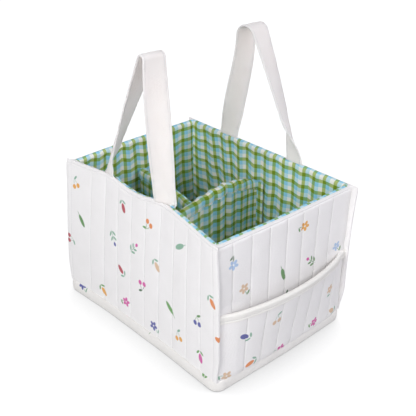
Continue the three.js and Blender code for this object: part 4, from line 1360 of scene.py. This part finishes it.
hem_rows = []
for name, line, faces, crown, seed in (
    ("cross", cross_line, (ACROSS_X, ACROSS_X), cross_crown, CROSS_SEED),
    ("long", long_line, (join_way, ACROSS_Y), long_crown, LONG_SEED),
):
    length = sum((line(b) - line(a)).length for a, b in zip(steps(0, 1, 40), steps(0, 1, 40)[1:]))
    shares = steps(0, 1, round(length / 1.6))
    outer, inner, cloth = [], [], []
    for share in shares:
        for skin, inset in ((outer, 0), (inner, DIVIDER_SHEET)):
            row = cover_section(inset)
            skin.append([divider_place(line, faces, share, *p, seed, crown) for p in row])
        run = [0]
        for a, b in zip(outer[-1], outer[-1][1:]):
            run.append(run[-1] + (b - a).length)
        sway = 1.5 * ripple(share * length, 0, seed + 5, 60, 1)
        cut = []
        for r, (_, up) in zip(run, cover_section(0)):
            aside = HEM_ASIDE if up > DIVIDER_TOP - DIVIDER_HEM + 0.1 else 0
            cut.append((share * length + aside, r + sway + aside))
        cloth.append(cut)
    cover = loft(f"{name}_divider_cover", outer, inner, cloth, check_cotton)
    dress(cover, "check_cotton", f"{name}_divider", body="divider")
    flat = (length * MM, cloth[0][-1][1] * MM)

    half = DIVIDER_THICKNESS / 2 - DIVIDER_SHEET - SEAM
    heights = steps(FLOOR, DIVIDER_TOP - DIVIDER_THICKNESS / 2, 20)
    sides = [[], []]
    for share in shares:
        for skin, offset in zip(sides, (half, -half)):
            skin.append([divider_place(line, faces, share, offset, up, seed, crown) for up in heights])
    plain = [[(0, 0)] * len(heights)] * len(shares)
    core = loft(f"{name}_divider_foam", *sides, plain, foam)
    dress(core, "divider_foam", f"{name}_divider_core", body="divider")

    up = DIVIDER_TOP - DIVIDER_HEM + HEM_SEWN
    out = DIVIDER_THICKNESS / 2 + hem_out(up) + THREAD_LIFT
    for offset in (-out, out):
        hem_rows.append([divider_place(line, faces, s, offset, up, seed, crown) for s in shares[2:-2]])
hem = stitched("divider_hem_stitches", hem_rows, HEM_THREAD)
dress(hem, "check_cotton", body="divider")


# Divider tabs: flaps of the check cover turned against the linings where a divider meets a wall,
# with nylon hook tape sewn on. Loop tape on the lining holds them.

# Nylon tape is a dull off-white, set with fine upright hooks or loops about 1.2 mm apart
tufts = ("ShaderNodeTexVoronoi", 1.2, ("#e6e4e0", "#bdbbb7"))
nylon_tape = speckled("nylon_hook_and_loop_tape", 0.7, 0.2, *tufts, (0.5, 0.4))

FLAP_EDGE = 1.5  # a strip is rounded off over this much at its edges
ENDS = ("cross_divider_front", "cross_divider_back", "long_divider")
strips = [(f"{end}_tab", check_cotton, "check_cotton") for end in ENDS]
strips += [(f"{end}_hook_tape", nylon_tape, "hook_and_loop_tape") for end in ENDS]
for node, material, slot in strips:
    low, high = [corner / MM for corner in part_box(node)]
    thin = 0 if high.x - low.x < high.y - low.y else 1
    wide = 1 - thin
    thickness = high[thin] - low[thin]
    skins_of, cloth = [[], []], []
    for across in steps(low[wide], high[wide], 10):
        for skin in skins_of:
            skin.append([])
        cloth.append([])
        for up in steps(low.z, high.z, 48):
            edge = min(across - low[wide], high[wide] - across, high.z - up, up - low.z)
            round_off = 0.3 * thickness * (1 - ease(edge / FLAP_EDGE))
            for skin, face in zip(skins_of, (low[thin] + round_off, high[thin] - round_off)):
                point = Vector((0, 0, up))
                point[thin], point[wide] = face, across
                skin[-1].append(point)
            cloth[-1].append((across, up))
    piece = loft(f"{node}_strip", *skins_of, cloth, material)
    dress(piece, slot, node, body="divider")
    flat = ((high[wide] - low[wide]) * MM, (high.z - low.z) * MM)

TAPE_WIDTH = 15
TAPE_SHEET = 1.0
TAPES = (("front", 19), ("back", 0), ("plain_end", -10))  # their walls, and places along them
for wall, middle in TAPES:
    low, high = [corner.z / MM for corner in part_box(f"{wall}_loop_tape")]
    stops = steps(middle - TAPE_WIDTH / 2, middle + TAPE_WIDTH / 2, 8)
    faces = (flat_face(WALL + SEAM), flat_face(WALL + SEAM + TAPE_SHEET))
    name = f"{wall}_loop_strip"
    tape = wall_sheet(name, wall, stops, steps(low, high, 48), faces, as_laid, nylon_tape)
    dress(tape, "hook_and_loop_tape", f"{wall}_loop_tape")
    flat = (TAPE_WIDTH * MM, (high - low) * MM)


# Camera at the photograph's place, soft studio light and a floor of backdrop paper, which looks
# white to the camera and keeps the object's shadow, real in part and painted near its foot.
AZIMUTH = math.radians(48.03)
ELEVATION = math.radians(28.2)
DISTANCE = 1.0807
AIM = Vector((0.0072, 0.0, 0.16484))
PHOTO_SIDE = 416
FOCAL_PX = 762.45

camera = bpy.data.objects.new("camera", bpy.data.cameras.new("camera"))
camera.data.sensor_width = 36
camera.data.lens = FOCAL_PX / PHOTO_SIDE * camera.data.sensor_width
level = math.cos(ELEVATION)
toward = Vector((math.sin(AZIMUTH) * level, -math.cos(AZIMUTH) * level, math.sin(ELEVATION)))
camera.location = AIM + DISTANCE * toward
camera.rotation_euler = toward.to_track_quat("Z", "Y").to_euler()
bpy.context.scene.collection.objects.link(camera)
bpy.context.scene.camera = camera


def lamp(name, place, size, power, colour):
    light = bpy.data.lights.new(name, "AREA")
    light.size = size
    light.energy = power
    light.color = linear(colour)[:3]
    obj = bpy.data.objects.new(name, light)
    obj.location = place
    obj.rotation_euler = (Vector(place) - AIM).to_track_quat("Z", "Y").to_euler()
    bpy.context.scene.collection.objects.link(obj)


lamp("key", (0.8, -2.0, 1.15), 1.4, 40.5, "#fdfdff")
lamp("fill", (1.8, 1.1, 1.65), 1.5, 27.5, "#f8f7ff")
lamp("back", (-1.5, 1.7, 1.1), 1.8, 14, "#fffdfb")


def seen_rays(tree):
    """1 for what the camera sees straight, mirrored or through glass, and 0 for light on the object."""
    ray = add(tree, "ShaderNodeLightPath").node.outputs
    seen = add(tree, "ShaderNodeMath", ray["Is Camera Ray"], ray["Is Glossy Ray"], operation="MAXIMUM")
    return add(tree, "ShaderNodeMath", seen, ray["Is Transmission Ray"], operation="MAXIMUM")


DOME = 0.29  # strength of the light from all round
world = bpy.data.worlds.new("studio")
bpy.context.scene.world = world
world.use_nodes = True
tree = world.node_tree
tree.nodes.clear()
seen = seen_rays(tree)
dome = add(tree, "ShaderNodeBackground", linear("#f6f8ff"), DOME)
white = add(tree, "ShaderNodeBackground", linear("#ffffff"), 1.0)
mixed = add(tree, "ShaderNodeMixShader", seen, dome, white)
add(tree, "ShaderNodeOutputWorld", mixed)

FLOOR_HALF = 6
PAPER_SHADE = 0.1  # the paper is shaded to this many metres from what stands on it
PAPER_GLOW = 0.98
PAPER_DARK = 1.05  # how much darker it gets
floor_mesh = bpy.data.meshes.new("floor")
signs = ((-1, -1), (1, -1), (1, 1), (-1, 1))
corners = [(x * FLOOR_HALF, y * FLOOR_HALF, 0) for x, y in signs]
floor_mesh.from_pydata(corners, [], [(0, 1, 2, 3)])
floor = bpy.data.objects.new("floor", floor_mesh)
bpy.context.scene.collection.objects.link(floor)
paper, tree, shader = new_material("white_backdrop_paper", 1.0)
shader.inputs["Specular IOR Level"].default_value = 0
seen = seen_rays(tree)
tone = add(tree, "ShaderNodeMix", seen, linear("#c8c8c8"), linear("#6a6a6a"), data_type="RGBA")
tree.links.new(tone, shader.inputs["Base Color"])
# Painted shadow: the paper's glow, as the camera sees it, is made darker where the caddy hides the sky
# from it, over and above the real shadow on its faint lit part.
near = add(tree, "ShaderNodeAmbientOcclusion", inputs={"Distance": PAPER_SHADE}).node.outputs["AO"]
hidden = add(tree, "ShaderNodeMath", 1.0, near, operation="SUBTRACT")
shade = add(tree, "ShaderNodeMath", hidden, hidden, operation="MULTIPLY")
level = add(tree, "ShaderNodeMath", shade, -PAPER_DARK, PAPER_GLOW, operation="MULTIPLY_ADD")
glow = add(tree, "ShaderNodeMath", seen, level, operation="MULTIPLY")
shader.inputs["Emission Color"].default_value = linear("#ffffff")
tree.links.new(glow, shader.inputs["Emission Strength"])
floor_mesh.materials.append(paper)

bpy.context.scene.view_settings.view_transform = "Standard"
